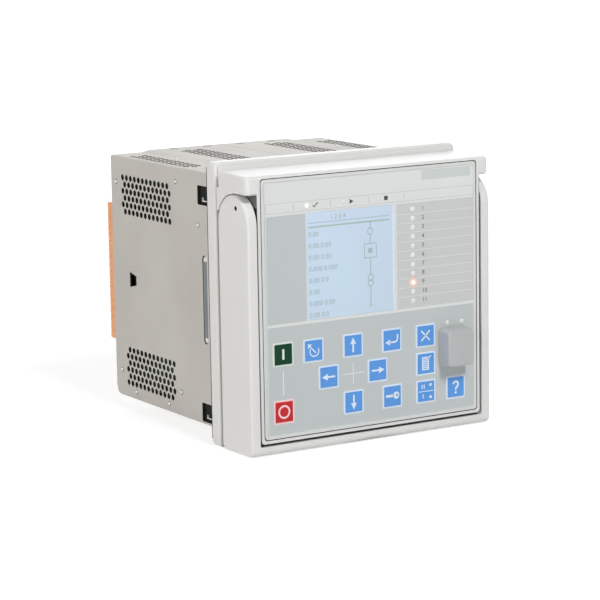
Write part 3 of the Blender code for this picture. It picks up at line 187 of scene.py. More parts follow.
FINISHES: dict[str, Finish] = {
    Slot.SHEET: Finish((209, 207, 202), (182, 178, 172), 0.5, 0.2, 0.07, 0.0011, 0.05, specular=0.0),
    "pressed_bar": Finish((128, 134, 137), (112, 118, 121), 0.4, 0.3, 0.01, 0.0009, 0.05, specular=0.2),
    # Dark colours for the sheet's cut edges and inner face: painted shade.
    "cut_edge_shade": Finish((84, 82, 79), (72, 70, 68), 0.5, 0.3, 0.014, None, specular=0.05),
    "sheet_inside_shade": Finish((60, 58, 56), (50, 48, 46), 0.5, 0.3, 0.014, 0.0011, 0.05, specular=0.05),
    # Lighter than the sheet: painted highlight on the studs' domes and the pressed bar's ends; also the spring clip's
    # pale steel.
    "pale_steel_and_highlight": Finish((222, 221, 218), (206, 204, 200), 0.3, 0.5, 0.002, None),
    Slot.SHELL: Finish((228, 228, 226), (225, 225, 223), 0.5, grain=0.0005, relief=0.08, specular=0.25),
    Slot.BORDER: Finish((219, 222, 220), (214, 217, 215), 0.42, grain=0.0005, relief=0.06),
    Slot.OVERLAY: Finish((196, 201, 202), (192, 198, 199), 0.38, grain=0.0003, relief=0.05),
    Slot.BLACK: Finish((20, 20, 21), (26, 26, 27), 0.6, grain=0.0005, relief=0.12, specular=0.12),
    Slot.RUBBER: Finish((20, 20, 20), (28, 28, 28), 0.8, grain=0.0008, relief=0.2, specular=0.2),
    Slot.ORANGE: Finish((243, 172, 117), (238, 163, 107), 0.42, grain=0.0006, relief=0.08),
    Slot.STEEL: Finish((200, 200, 202), (178, 178, 182), 0.28, 0.9, 0.006, 0.0003, 0.08),
    Slot.BOARD: Finish((24, 88, 52), (32, 104, 60), 0.38, drift=0.004, grain=0.0009, relief=0.12, coat=0.3),
    Slot.WHITE: Finish((226, 225, 220), (218, 217, 212), 0.4, grain=0.0006, relief=0.08),
    Slot.TAPE: Finish((206, 168, 74), (190, 150, 60), 0.42, drift=0.004, grain=0.0007, relief=0.15, coat=0.2),
    Slot.DISPLAY: Finish((198, 226, 240), (204, 216, 240), 0.12, drift=0.035, grain=None, coat=0.3),
    "display_edge": Finish((226, 234, 244), (220, 230, 242), 0.2, grain=None),
    Slot.LIGHT: Finish((236, 238, 236), (228, 230, 229), 0.2, grain=None, coat=0.3),
    Slot.COVER: Finish((180, 182, 183), (176, 178, 179), 0.3, grain=0.0004, relief=0.08, coat=0.9),
    Slot.BLUE: Finish((90, 155, 229), (84, 150, 225), 0.36, grain=0.0003, relief=0.05),
    Slot.GREEN: Finish((22, 68, 44), (18, 62, 39), 0.42, grain=0.0003, relief=0.05, specular=0.12),
    Slot.RED: Finish((204, 45, 54), (197, 40, 48), 0.42, grain=0.0003, relief=0.05, specular=0.2),
    "film_light": Finish((225, 228, 227), (221, 224, 223), 0.38, grain=0.0003, relief=0.05),
    "film_middle": Finish((205, 207, 207), (202, 204, 204), 0.38, grain=0.0003, relief=0.05),
    "film_field": Finish((206, 212, 211), (202, 208, 207), 0.38, grain=0.0003, relief=0.05),
    "glow_near": Finish((250, 222, 215), (247, 216, 210), 0.4, grain=None, drift=0.002),
    "glow_far": Finish((234, 210, 207), (230, 206, 204), 0.4, grain=None, drift=0.002),
    "glow_edge": Finish((219, 207, 206), (215, 204, 204), 0.4, grain=None, drift=0.002),
    "print_white": Finish((232, 233, 233), (228, 229, 229), 0.4, grain=None),
    "print_line": Finish((197, 201, 201), (193, 197, 197), 0.4, grain=None),
    # Grey of the groove between the housing and the flange: painted shade.
    "groove_shade_grey": Finish((158, 158, 157), (150, 150, 149), 0.6, grain=0.0005, relief=0.1, specular=0.2),
    "lamination": Finish((74, 75, 78), (62, 63, 66), 0.4, 0.6, 0.003, 0.0003, 0.3, specular=0.3),
    "clip_green": Finish((150, 172, 158), (136, 160, 146), 0.5, drift=0.003, grain=None),
    "board_track": Finish((48, 124, 78), (42, 116, 72), 0.35, drift=0.004, grain=None, coat=0.3),
    "part_tan": Finish((176, 138, 96), (160, 122, 82), 0.45, drift=0.003, grain=0.0004),
    # Darker orange between the plug's poles: painted shade.
    "plug_groove_shade": Finish((196, 116, 66), (188, 108, 60), 0.5, grain=0.0006, relief=0.08),
    # Dark grey of the recess under the visor: painted shade.
    "recess_shade_grey": Finish((98, 99, 100), (90, 91, 92), 0.5, grain=0.0005, relief=0.1),
    "print_dark": Finish((72, 74, 78), (66, 68, 72), 0.4, grain=None),
    "key_edge": Finish((224, 236, 250), (219, 232, 248), 0.4, grain=None),
    "key_edge_red": Finish((250, 220, 222), (247, 213, 215), 0.4, grain=None),
    "key_edge_green": Finish((224, 236, 228), (218, 231, 222), 0.4, grain=None),
    "display_mark": Finish((164, 190, 194), (158, 184, 188), 0.2, grain=None),
    "display_bar": Finish((164, 198, 182), (158, 192, 176), 0.2, grain=None),
    "lit_red": Finish((255, 216, 205), (255, 206, 194), 0.3, grain=None, emission=0.32, drift=0.001),
    "lit_core": Finish((255, 244, 222), (255, 240, 214), 0.3, grain=None, emission=0.6, drift=0.001),
    "lit_green": Finish((226, 246, 222), (236, 252, 226), 0.3, grain=None, emission=0.5, drift=0.001),
    # Near-black for holes and recesses: painted shade.
    "hole_shade_black": Finish((8, 8, 9), (14, 14, 15), 0.6, grain=0.0005, specular=0.1),
    "gold": Finish((222, 184, 92), (206, 164, 74), 0.3, 0.9, 0.004, None),
    "chip": Finish((40, 41, 44), (50, 51, 54), 0.45, grain=0.0004),
    "brass": Finish((206, 190, 140), (190, 172, 120), 0.32, 0.85, 0.004, 0.0003, 0.08),
}


def surface_group() -> bpy.types.ShaderNodeTree:
    """Builds the shared effect: slow drift between two colours, with a fine relief in object space.

    Returns:
        A group that takes both colours, the two scales and the relief, and gives colour and normal.
    """
    group = bpy.data.node_groups.new("drift_and_relief", "ShaderNodeTree")
    inputs = (
        ("Colour", "NodeSocketColor", None),
        ("Second", "NodeSocketColor", None),
        ("Drift Scale", "NodeSocketFloat", 30.0),
        ("Grain Scale", "NodeSocketFloat", 2000.0),
        ("Relief", "NodeSocketFloat", 0.1),
    )
    for name, kind, value in inputs:
        socket = group.interface.new_socket(name=name, in_out="INPUT", socket_type=kind)
        if value is not None:
            socket.default_value = value
    for name, kind in (("Colour", "NodeSocketColor"), ("Normal", "NodeSocketVector")):
        group.interface.new_socket(name=name, in_out="OUTPUT", socket_type=kind)
    nodes, links = group.nodes, group.links
    entry, leave = nodes.new("NodeGroupInput"), nodes.new("NodeGroupOutput")
    place = nodes.new("ShaderNodeTexCoord")
    drift = nodes.new("ShaderNodeTexNoise")
    drift.inputs["Detail"].default_value = 3.0
    mix = nodes.new("ShaderNodeMix")
    mix.data_type = "RGBA"
    grain = nodes.new("ShaderNodeTexNoise")
    grain.inputs["Detail"].default_value = 2.0
    bump = nodes.new("ShaderNodeBump")
    bump.inputs["Distance"].default_value = 0.05 * MM
    links.new(place.outputs["Object"], drift.inputs["Vector"])
    links.new(entry.outputs["Drift Scale"], drift.inputs["Scale"])
    links.new(drift.outputs["Fac"], mix.inputs["Factor"])
    links.new(entry.outputs["Colour"], mix.inputs["A"])
    links.new(entry.outputs["Second"], mix.inputs["B"])
    links.new(place.outputs["Object"], grain.inputs["Vector"])
    links.new(entry.outputs["Grain Scale"], grain.inputs["Scale"])
    links.new(grain.outputs["Fac"], bump.inputs["Height"])
    links.new(entry.outputs["Relief"], bump.inputs["Strength"])
    links.new(mix.outputs["Result"], leave.inputs["Colour"])
    links.new(bump.outputs["Normal"], leave.inputs["Normal"])
    return group


class Palette:
    """Makes each material once and hands it out by name."""

    def __init__(self) -> None:
        self._group = surface_group()
        self._made: dict[str, bpy.types.Material] = {}

    def __getitem__(self, key: str) -> bpy.types.Material:
        name = key.value if isinstance(key, Enum) else key
        if name not in self._made:
            self._made[name] = self._build(name, FINISHES[name])
        return self._made[name]

    def _build(self, name: str, look: Finish) -> bpy.types.Material:
        """Builds one material from its finish.

        Args:
            name: Name of the material.
            look: Its finish.

        Returns:
            The material.
        """
        made = bpy.data.materials.new(f"look_{name}")
        made.use_nodes = True
        nodes, links = made.node_tree.nodes, made.node_tree.links
        shader = nodes["Principled BSDF"]
        shader.inputs["Roughness"].default_value = look.roughness
        shader.inputs["Metallic"].default_value = look.metallic
        shader.inputs["Coat Weight"].default_value = look.coat
        shader.inputs["Specular IOR Level"].default_value = look.specular
        effect = nodes.new("ShaderNodeGroup")
        effect.node_tree = self._group
        effect.inputs["Colour"].default_value = srgb(*look.colour)
        effect.inputs["Second"].default_value = srgb(*look.second)
        effect.inputs["Drift Scale"].default_value = 1 / look.drift
        links.new(effect.outputs["Colour"], shader.inputs["Base Color"])
        if look.grain is not None:
            effect.inputs["Grain Scale"].default_value = 1 / look.grain
            effect.inputs["Relief"].default_value = look.relief
            links.new(effect.outputs["Normal"], shader.inputs["Normal"])
        if look.emission:
            shader.inputs["Emission Strength"].default_value = look.emission
            links.new(effect.outputs["Colour"], shader.inputs["Emission Color"])
        return made


def rounded(x0: float, x1: float, z0: float, z1: float, radius: float, steps: int = 5) -> Outline:
    """Outline of a rectangle with round corners.

    Args:
        x0: Lowest place along the first axis.
        x1: Highest place along the first axis.
        z0: Lowest place along the second axis.
        z1: Highest place along the second axis.
        radius: Corner radius.
        steps: Steps in each corner.

    Returns:
        The outline's points, counterclockwise.
    """
    if radius <= 0:
        return [(x0, z0), (x1, z0), (x1, z1), (x0, z1)]
    outline: Outline = []
    centres = ((x0, z0, 180), (x1, z0, 270), (x1, z1, 0), (x0, z1, 90))
    for x, z, start in centres:
        cx = x + radius if x == x0 else x - radius
        cz = z + radius if z == z0 else z - radius
        for k in range(steps + 1):
            angle = math.radians(start + 90 * k / steps)
            outline.append((cx + radius * math.cos(angle), cz + radius * math.sin(angle)))
    return outline


def circle(x: float, z: float, diameter: float, steps: int = 16) -> Outline:
    """Outline of a circle.

    Args:
        x: Centre along the first axis.
        z: Centre along the second axis.
        diameter: Its diameter.
        steps: Its number of sides.

    Returns:
        The outline's points.
    """
    turns = [2 * math.pi * k / steps for k in range(steps)]
    return [(x + diameter / 2 * math.cos(turn), z + diameter / 2 * math.sin(turn)) for turn in turns]


def stroke(points: Outline, width: float) -> Outline:
    """Outline of a line of even width through some points.

    Args:
        points: The line's points.
        width: The line's width.

    Returns:
        The outline's points.
    """
    left: Outline = []
    right: Outline = []
    for i, here in enumerate(points):
        before = points[max(i - 1, 0)]
        after = points[min(i + 1, len(points) - 1)]
        along = Vector((after[0] - before[0], after[1] - before[1])).normalized()
        side = Vector((-along.y, along.x)) * width / 2
        left.append((here[0] + side.x, here[1] + side.y))
        right.append((here[0] - side.x, here[1] - side.y))
    return left + right[::-1]


def arc_points(centre: Point, radius: float, start: float, end: float, steps: int) -> Outline:
    """Points on an arc.

    Args:
        centre: Its centre.
        radius: Its radius.
        start: First angle in degrees.
        end: Last angle in degrees.
        steps: Number of steps.

    Returns:
        The points.
    """
    angles = [math.radians(start + (end - start) * k / steps) for k in range(steps + 1)]
    return [(centre[0] + radius * math.cos(a), centre[1] + radius * math.sin(a)) for a in angles]


def arc_through(first: Point, middle: Point, last: Point, steps: int) -> Outline:
    """Points on the shallow arc through three points, drawn as a parabola.

    Args:
        first: Where it starts.
        middle: A point that it reaches halfway.
        last: Where it ends.
        steps: Number of steps.

    Returns:
        The points.
    """
    a, b, c = Vector(first), Vector(middle), Vector(last)
    control = 2 * b - (a + c) / 2
    points = []
    for k in range(steps + 1):
        t = k / steps
        points.append(tuple(a * (1 - t) ** 2 + control * 2 * t * (1 - t) + c * t**2))
    return points


def round_path(corners: Outline, radii: tuple[float, ...], steps: int) -> Outline:
    """An open path with its corners rounded.

    Args:
        corners: The path's corners.
        radii: The radius at each.
        steps: Steps in each rounding.

    Returns:
        The points.
    """
    path: Outline = []
    for i, (corner, radius) in enumerate(zip(corners, radii)):
        here = Vector(corner)
        if radius <= 0:
            path.append(corner)
            continue
        to_last = (Vector(corners[i - 1]) - here).normalized()
        to_next = (Vector(corners[i + 1]) - here).normalized()
        half = to_last.angle(to_next) / 2
        centre = here + (to_last + to_next).normalized() * (radius / math.sin(half))
        start = here + to_last * (radius / math.tan(half)) - centre
        end = here + to_next * (radius / math.tan(half)) - centre
        turn = start.angle_signed(end)
        for k in range(steps + 1):
            path.append(tuple(centre + Matrix.Rotation(-turn * k / steps, 2) @ start))
    return path


def path_normals(path: Outline, side: int) -> list[Vector]:
    """The outward normal at each point of the case's path, long enough to keep the sheet's thickness.

    Args:
        path: The path.
        side: -1 where the path runs round the left half, 1 for the right one.

    Returns:
        The normals.
    """
    normals = []
    for i in range(len(path)):
        before = (Vector(path[i]) - Vector(path[i - 1])).normalized() if i else None
        after = (Vector(path[i + 1]) - Vector(path[i])).normalized() if i + 1 < len(path) else None
        first, second = before or after, after or before
        square = [Vector((-along.y, along.x)) * side for along in (first, second)]
        middle = (square[0] + square[1]).normalized()
        normals.append(middle / middle.dot(square[0]))
    return normals


def standing(axis: str) -> Matrix:
    """The turn that stands a drawing up square to an axis.

    Args:
        axis: "x", "y" or "z", the axis that the drawing is pushed along.

    Returns:
        A matrix that takes the drawing's own axes to the other two axes, in order.
    """
    stands = {
        "x": Matrix(((0, 0, 1), (1, 0, 0), (0, 1, 0))),
        "y": Matrix(((1, 0, 0), (0, 0, 1), (0, 1, 0))),
        "z": Matrix.Identity(3),
    }
    return stands[axis].to_4x4()


class Sketch:
    """Gathers mesh parts, each with its own material, into one piece drawn about the flange."""

    def __init__(self, palette: Palette, origin: Vector) -> None:
        self._palette = palette
        self._origin = origin
        self.mesh = bmesh.new()
        self._looks: list[str] = []

    def look(self, name: str) -> int:
        """The number of a material on this piece.

        Args:
            name: Name of the material.

        Returns:
            Its index.
        """
        key = name.value if isinstance(name, Enum) else name
        if key not in self._looks:
            self._looks.append(key)
        return self._looks.index(key)

    def add(self, part: bmesh.types.BMesh, look: str | None, matrix: Matrix | None = None) -> None:
        """Takes a bmesh into the piece and frees it.

        Args:
            part: The bmesh.
            look: Name of its material. None keeps what its faces have.
            matrix: Where to put it.
        """
        if matrix is not None:
            bmesh.ops.transform(part, matrix=matrix, verts=part.verts)
        if part.calc_volume(signed=True) < 0:
            bmesh.ops.reverse_faces(part, faces=part.faces)
        if look is not None:
            index = self.look(look)
            for face in part.faces:
                face.material_index = index
        mesh = bpy.data.meshes.new("part")
        part.to_mesh(mesh)
        part.free()
        self.mesh.from_mesh(mesh)
        bpy.data.meshes.remove(mesh)

    def prism(
        self,
        outlines: list[Outline],
        axis: str,
        low: float,
        high: float,
        look: str,
        bevel: float = 0.0,
        steps: int = 2,
    ) -> None:
        """Pushes flat outlines along an axis. Outlines inside another one are holes.

        Args:
            outlines: The outlines, at the piece's full size.
            axis: The axis to push along.
            low: Where the push starts.
            high: Where the push ends.
            look: Name of the material.
            bevel: Radius that rounds all the edges.
            steps: Steps in that rounding.
        """
        self.add(prism_mesh(outlines, axis, low, high, bevel, steps), look)

    def lathe(self, profile: Outline, centre: Vector, axis: str, look: str, steps: int = 20) -> None:
        """Turns a profile about an axis.

        Args:
            profile: Radius and place along the axis of each point.
            centre: Where the axis starts.
            axis: The axis of the turn.
            look: Name of the material.
            steps: Steps round the turn.
        """
        part = bmesh.new()
        rings = []
        for radius, along in profile:
            if radius <= 0:
                rings.append([part.verts.new((0, 0, along))])
                continue
            turns = [2 * math.pi * k / steps for k in range(steps)]
            ring = [part.verts.new((radius * math.cos(t), radius * math.sin(t), along)) for t in turns]
            rings.append(ring)
        for near, far in zip(rings, rings[1:]):
            for k in range(steps):
                corners = [near[k % len(near)], near[(k + 1) % len(near)]]
                corners += [far[(k + 1) % len(far)], far[k % len(far)]]
                part.faces.new(list(dict.fromkeys(corners)))
        bmesh.ops.recalc_face_normals(part, faces=part.faces)
        self.add(part, look, Matrix.Translation(centre) @ standing(axis))

    def block(self, low: Vector, high: Vector, look: str, bevel: float = 0.2 * MM) -> None:
        """A block with round edges.

        Args:
            low: Its lowest corner.
            high: Its highest corner.
            look: Name of the material.
            bevel: Radius of its edges.
        """
        self.prism([rounded(low.x, high.x, low.z, high.z, bevel)], "y", low.y, high.y, look, bevel)

    def screw(self, centre: Vector, axis: str, facing: int, radius: float) -> None:
        """A pan-head screw with a cross in its head. The cross is a black shape set on the head: painted shade of the
        recess.

        Args:
            centre: Where its head sits.
            axis: The axis that it faces along.
            facing: 1 where it faces up the axis, -1 where it faces down.
            radius: Radius of its head.
        """
        shape = ((0, -0.3), (1, -0.3), (1, 0.18), (0.86, 0.42), (0.5, 0.56), (0, 0.6))
        self.lathe([(r * radius, along * radius * facing) for r, along in shape], centre, axis, Slot.STEEL, 20)
        long, wide = 0.56 * radius, 0.11 * radius
        quarter = [(wide, long), (wide, wide), (long, wide)]
        cross = [(a * x, b * z) for a, b, order in ((1, 1, 1), (1, -1, -1), (-1, -1, 1), (-1, 1, -1)) for x, z in quarter[::order]]
        across, up = [place for name, place in zip("xyz", centre) if name != axis]
        ends = sorted(centre[AXES[axis]] + share * radius * facing for share in (0.45, 0.615))
        # Black cross: painted shade of the screw's recess.
        self.prism([[(across + x, up + z) for x, z in cross]], axis, *ends, "hole_shade_black")

    def text(self, words: str, size: float, at: Vector, look: str, facing: float = -1) -> None:
        """Prints plain characters on a face square to Y.

        Args:
            words: The characters.
            size: Their height.
            at: The middle of their left edge.
            look: Name of the material.
            facing: -1 on the front, 1 on the rear.
        """
        curve = bpy.data.curves.new("words", "FONT")
        curve.body = words
        curve.size = size
        curve.align_y = "CENTER"
        curve.resolution_u = 2
        curve.extrude = PRINT_RISE / 2
        drawn = bpy.data.objects.new("words", curve)
        bpy.context.scene.collection.objects.link(drawn)
        part = evaluated(drawn)
        turn = Matrix.Rotation(math.pi / 2, 4, "X")
        if facing > 0:
            turn = Matrix.Rotation(math.pi, 4, "Z") @ turn
        self.add(part, look, Matrix.Translation(at) @ turn)

    def finish(self, name: str, body: Body | str, slot: Slot, *nodes: str, smooth: float = 40) -> bpy.types.Object:
        """Makes the piece's object, hangs it on its body and hides the CAD nodes that it stands for.

        Args:
            name: Name of the piece.
            body: The body that it rides on.
            slot: The record's slot for its finish. Not used.
            nodes: CAD nodes that it replaces.
            smooth: Angle in degrees under which edges are shaded smooth.

        Returns:
            The object.
        """
        bmesh.ops.translate(self.mesh, verts=self.mesh.verts, vec=self._origin)
        mesh = bpy.data.meshes.new(name)
        self.mesh.to_mesh(mesh)
        self.mesh.free()
        for look in self._looks:
            mesh.materials.append(self._palette[look])
        mesh.shade_smooth()
        mesh.set_sharp_from_angle(angle=math.radians(smooth))
        obj = bpy.data.objects.new(name, mesh)
        bpy.context.scene.collection.objects.link(obj)
        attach(obj, body.value if isinstance(body, Enum) else body)
        if nodes:
            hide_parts(*nodes)
        return obj


def evaluated(drawn: bpy.types.Object) -> bmesh.types.BMesh:
    """The mesh of an object with its modifiers or its curve's shape applied. The object is removed.

    Args:
        drawn: The object.

    Returns:
        A new bmesh.
    """
    mesh = bpy.data.meshes.new_from_object(drawn.evaluated_get(bpy.context.evaluated_depsgraph_get()))
    bpy.data.objects.remove(drawn)
    part = bmesh.new()
    part.from_mesh(mesh)
    bpy.data.meshes.remove(mesh)
    bmesh.ops.remove_doubles(part, verts=part.verts, dist=0.001 * MM)
    return part


def prism_mesh(
    outlines: list[Outline], axis: str, low: float, high: float, bevel: float = 0.0, steps: int = 2
) -> bmesh.types.BMesh:
    """A bmesh of flat outlines pushed along an axis, with round edges.

    Args:
        outlines: The outlines, at full size. The first is the outer one, and the others are holes.
        axis: The axis to push along.
        low: Where the push starts.
        high: Where the push ends.
        bevel: Radius that rounds all the edges.
        steps: Steps in that rounding.

    Returns:
        The bmesh.
    """
    curve = bpy.data.curves.new("outline", "CURVE")
    curve.dimensions = "2D"
    curve.fill_mode = "BOTH"
    curve.extrude = max((high - low) / 2 - bevel, 0)
    curve.bevel_depth = bevel
    curve.bevel_resolution = steps
    curve.offset = -bevel
    for outline in outlines:
        spline = curve.splines.new("POLY")
        spline.use_cyclic_u = True
        spline.points.add(len(outline) - 1)
        for point, (a, b) in zip(spline.points, outline):
            point.co = (a, b, 0, 1)
    drawn = bpy.data.objects.new("outline", curve)
    bpy.context.scene.collection.objects.link(drawn)
    part = evaluated(drawn)
    push = Vector((0, 0, 0))
    push[AXES[axis]] = (low + high) / 2
    bmesh.ops.transform(part, matrix=Matrix.Translation(push) @ standing(axis), verts=part.verts)
    bmesh.ops.recalc_face_normals(part, faces=part.faces)
    return part


def combined(base: bmesh.types.BMesh, tools: list[tuple[bmesh.types.BMesh, str]]) -> bmesh.types.BMesh:
    """Cuts or joins closed meshes.

    Args:
        base: The mesh to start from. It is freed.
        tools: Pairs of a mesh, which is freed too, and "DIFFERENCE" or "UNION".

    Returns:
        The result as a new bmesh.
    """
    scene = bpy.context.scene.collection.objects

    def held(part: bmesh.types.BMesh) -> bpy.types.Object:
        mesh = bpy.data.meshes.new("solid")
        part.to_mesh(mesh)
        part.free()
        obj = bpy.data.objects.new("solid", mesh)
        scene.link(obj)
        return obj

    main = held(base)
    others = []
    for part, operation in tools:
        modifier = main.modifiers.new("step", "BOOLEAN")
        modifier.operation = operation
        modifier.solver = "EXACT"
        modifier.object = held(part)
        others.append(modifier.object)
    result = evaluated(main)
    for other in others:
        bpy.data.objects.remove(other)
    return result


def box_mesh(x: Point, y: Point, z: Point) -> bmesh.types.BMesh:
    """A bmesh of a box, used only to cut or to join.

    Args:
        x: Its limits along X.
        y: Its limits along Y.
        z: Its limits along Z.

    Returns:
        The bmesh.
    """
    part = bmesh.new()
    low, high = Vector((x[0], y[0], z[0])), Vector((x[1], y[1], z[1]))
    bmesh.ops.create_cube(part, size=1, matrix=Matrix.LocRotScale((low + high) / 2, None, high - low))
    return part


@dataclass(frozen=True)
class CameraPlace:
    """The camera of the photograph, as turns about the flange and the flange's place before the lens.

    Attributes:
        yaw: Turn about Z, in degrees.
        pitch: Turn about X after that, in degrees.
        roll: Turn about the line of sight, in degrees.
        right: How far right of the line of sight the flange's centre lies, in metres.
        ahead: How far in front of the lens it lies.
        above: How far above the line of sight it lies.
        focal: Focal length in millimetres on a 36 mm sensor.
    """

    yaw: float = 31.368
    pitch: float = 9.751
    roll: float = -0.973
    right: float = 0.0194
    ahead: float = 1.5885
    above: float = 0.0062
    focal: float = 150.62

    def matrix(self, origin: Vector) -> Matrix:
        """The camera's world matrix.

        Args:
            origin: The flange's centre in the world.

        Returns:
            The matrix.
        """
        turn = Matrix.Rotation(math.radians(self.roll), 3, "Y")
        turn = turn @ Matrix.Rotation(math.radians(self.pitch), 3, "X")
        turn = turn @ Matrix.Rotation(math.radians(self.yaw), 3, "Z")
        back = turn.transposed()
        place = origin - back @ Vector((self.right, self.ahead, self.above))
        return Matrix.Translation(place) @ (back @ Matrix.Rotation(math.pi / 2, 3, "X")).to_4x4()


class Studio:
    """Camera, lamps, world and floor."""

    WORLD_LIGHT = 0.18
    FLOOR_GLOW = 0.78
    #: Name, place and side in parts of the largest size, power in watts and tint.
    LAMPS = (
        ("front_lamp", (0, -8, 8), 3, 33.5, (1.0, 1.0, 0.995)),
        ("side_lamp", (-10, -1, 3), 6, 20.5, (1.0, 0.965, 0.935)),
        ("rear_lamp", (5, 8, 4), 5, 14.5, (0.93, 0.965, 1.0)),
    )

    def __init__(self, origin: Vector, size: Vector) -> None:
        self._origin = origin
        self._size = size

    def build(self) -> None:
        """Sets up everything around the relay."""
        scene = bpy.context.scene
        scene.view_settings.view_transform = "Standard"
        self._camera()
        self._world()
        self._floor()
        reach = max(self._size)
        for name, place, size, power, tint in self.LAMPS:
            self._lamp(name, Vector(place) * reach, size * reach, power, tint)

    def _camera(self) -> None:
        data = bpy.data.cameras.new("camera")
        place = CameraPlace()
        data.lens = place.focal
        data.sensor_width = 36
        data.clip_start = 0.05
        data.clip_end = 50
        camera = bpy.data.objects.new("camera", data)
        camera.matrix_world = place.matrix(self._origin)
        bpy.context.scene.collection.objects.link(camera)
        bpy.context.scene.camera = camera

    def _lamp(self, name: str, place: Vector, size: float, power: float, tint: tuple[float, float, float]) -> None:
        """Adds a soft square lamp that looks at the relay.

        Args:
            name: Its name.
            place: Where it hangs, from the flange's centre.
            size: Its side.
            power: Its power in watts.
            tint: Its colour.
        """
        data = bpy.data.lights.new(name, "AREA")
        data.size = size
        data.energy = power
        data.color = tint
        lamp = bpy.data.objects.new(name, data)
        lamp.location = self._origin + place
        lamp.rotation_euler = (-place).to_track_quat("-Z", "Y").to_euler()
        bpy.context.scene.collection.objects.link(lamp)

    @staticmethod
    def _seen(tree: bpy.types.NodeTree) -> bpy.types.NodeSocket:
        """A mask of 1 for rays from the camera, from a gloss or through glass, and 0 for the rest.

        Args:
            tree: The node tree to put it in.

        Returns:
            The mask's socket.
        """
        path = tree.nodes.new("ShaderNodeLightPath")
        mask = path.outputs["Is Camera Ray"]
        for kind in ("Is Glossy Ray", "Is Transmission Ray"):
            either = tree.nodes.new("ShaderNodeMath")
            either.operation = "MAXIMUM"
            tree.links.new(mask, either.inputs[0])
            tree.links.new(path.outputs[kind], either.inputs[1])
            mask = either.outputs[0]
        return mask

    def _world(self) -> None:
        world = bpy.data.worlds.new("studio")
        world.use_nodes = True
        nodes, links = world.node_tree.nodes, world.node_tree.links
        nodes.clear()
        light, seen = nodes.new("ShaderNodeBackground"), nodes.new("ShaderNodeBackground")
        light.inputs["Strength"].default_value = self.WORLD_LIGHT
        mix, out = nodes.new("ShaderNodeMixShader"), nodes.new("ShaderNodeOutputWorld")
        for node in (light, seen):
            node.inputs["Color"].default_value = (1, 1, 1, 1)
        links.new(self._seen(world.node_tree), mix.inputs["Fac"])
        links.new(light.outputs["Background"], mix.inputs[1])
        links.new(seen.outputs["Background"], mix.inputs[2])
        links.new(mix.outputs["Shader"], out.inputs["Surface"])
        bpy.context.scene.world = world

    def _floor(self) -> None:
        """A white floor. What the camera sees of it adds a glow, so that only the shadow is less than white."""
        part = bmesh.new()
        bmesh.ops.create_grid(part, x_segments=2, y_segments=2, size=40 * max(self._size))
        mesh = bpy.data.meshes.new("floor")
        part.to_mesh(mesh)
        part.free()
        made = bpy.data.materials.new("look_floor")
        made.use_nodes = True
        nodes, links = made.node_tree.nodes, made.node_tree.links
        plain = nodes["Principled BSDF"]
        plain.inputs["Base Color"].default_value = (0.86, 0.86, 0.86, 1)
        plain.inputs["Roughness"].default_value = 0.9
        shaded, glow = nodes.new("ShaderNodeBsdfDiffuse"), nodes.new("ShaderNodeEmission")
        shaded.inputs["Color"].default_value = (0.4, 0.4, 0.4, 1)
        where, reach, near = (nodes.new(f"ShaderNode{kind}") for kind in ("TexCoord", "VectorMath", "MapRange"))
        reach.operation = "LENGTH"
        links.new(where.outputs["Object"], reach.inputs[0])
        links.new(reach.outputs["Value"], near.inputs["Value"])
        for socket, value in zip(("From Min", "From Max", "To Min", "To Max"), (3 * max(self._size), 9 * max(self._size), self.FLOOR_GLOW, 1)):
            near.inputs[socket].default_value = value
        links.new(near.outputs["Result"], glow.inputs["Strength"])
        both, mix = nodes.new("ShaderNodeAddShader"), nodes.new("ShaderNodeMixShader")
        links.new(shaded.outputs["BSDF"], both.inputs[0])
        links.new(glow.outputs["Emission"], both.inputs[1])
        links.new(self._seen(made.node_tree), mix.inputs["Fac"])
        links.new(plain.outputs["BSDF"], mix.inputs[1])
        links.new(both.outputs["Shader"], mix.inputs[2])
        links.new(mix.outputs["Shader"], nodes["Material Output"].inputs["Surface"])
        mesh.materials.append(made)
        floor = bpy.data.objects.new("floor", mesh)
        bpy.context.scene.collection.objects.link(floor)
        floor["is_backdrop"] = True


class CasePieces:
    """The folded sheets of the case and the flange."""

    SHEET = 1.2 * MM
    RISE = 1.2 * MM
    FOLD = 1.6 * MM
    VENT = 4.0 * MM
    VENT_PITCH = Vector((5.5, 4.45)) * MM
    SIDE_VENTS = ((91.3 * MM, 55.5 * MM, 0.25), (90.3 * MM, -58.5 * MM, -0.25))
    TOP_VENTS = ((71.5 * MM, 3), (32.5 * MM, 4))
    # Profiles of the studs' dome, drawn lighter than the sheet as painted highlight, and of the dark ring round it,
    # painted shade.
    STUD = ((0, -0.2), (1.3, -0.2), (1.2, 0.25), (0.85, 0.55), (0.45, 0.68), (0, 0.7))
    STUD_SHADE_RIM = ((0, -0.2), (1.7, -0.2), (1.65, 0.03), (0, 0.03))
    STUDS = ((132.3, 62.9), (51.3, 70.7), (23.1, 46.2), (131.1, -62.4), (49.4, -64.1), (111.4, -74.6), (66.4, -74.6))

    def __init__(self, relay: Relay) -> None:
        self._relay = relay
        self._low, self._high = relay.span("case_left")

    def build(self) -> None:
        """Makes both halves of the case and the flange."""
        for side, node in ((-1, "case_left"), (1, "case_right")):
            self._half(side, node)
        self._flange()

    def _path(self, side: int) -> Outline:
        """The outer face of one half, in the XZ plane, from the seam on top to the seam underneath."""
        outer, top, bottom = -self._low.x, self._high.z, self._low.z
        shoulder = top - self.RISE
        corners = [(FIT / 2, top), (53.0 * MM, top), (59.0 * MM, shoulder), (outer, shoulder)]
        corners += [(outer, bottom), (FIT / 2, bottom)]
        radii = (0, 3 * MM, 3 * MM, self.FOLD, self.FOLD, 0)
        return [(side * x, z) for x, z in round_path(corners, radii, 5)]

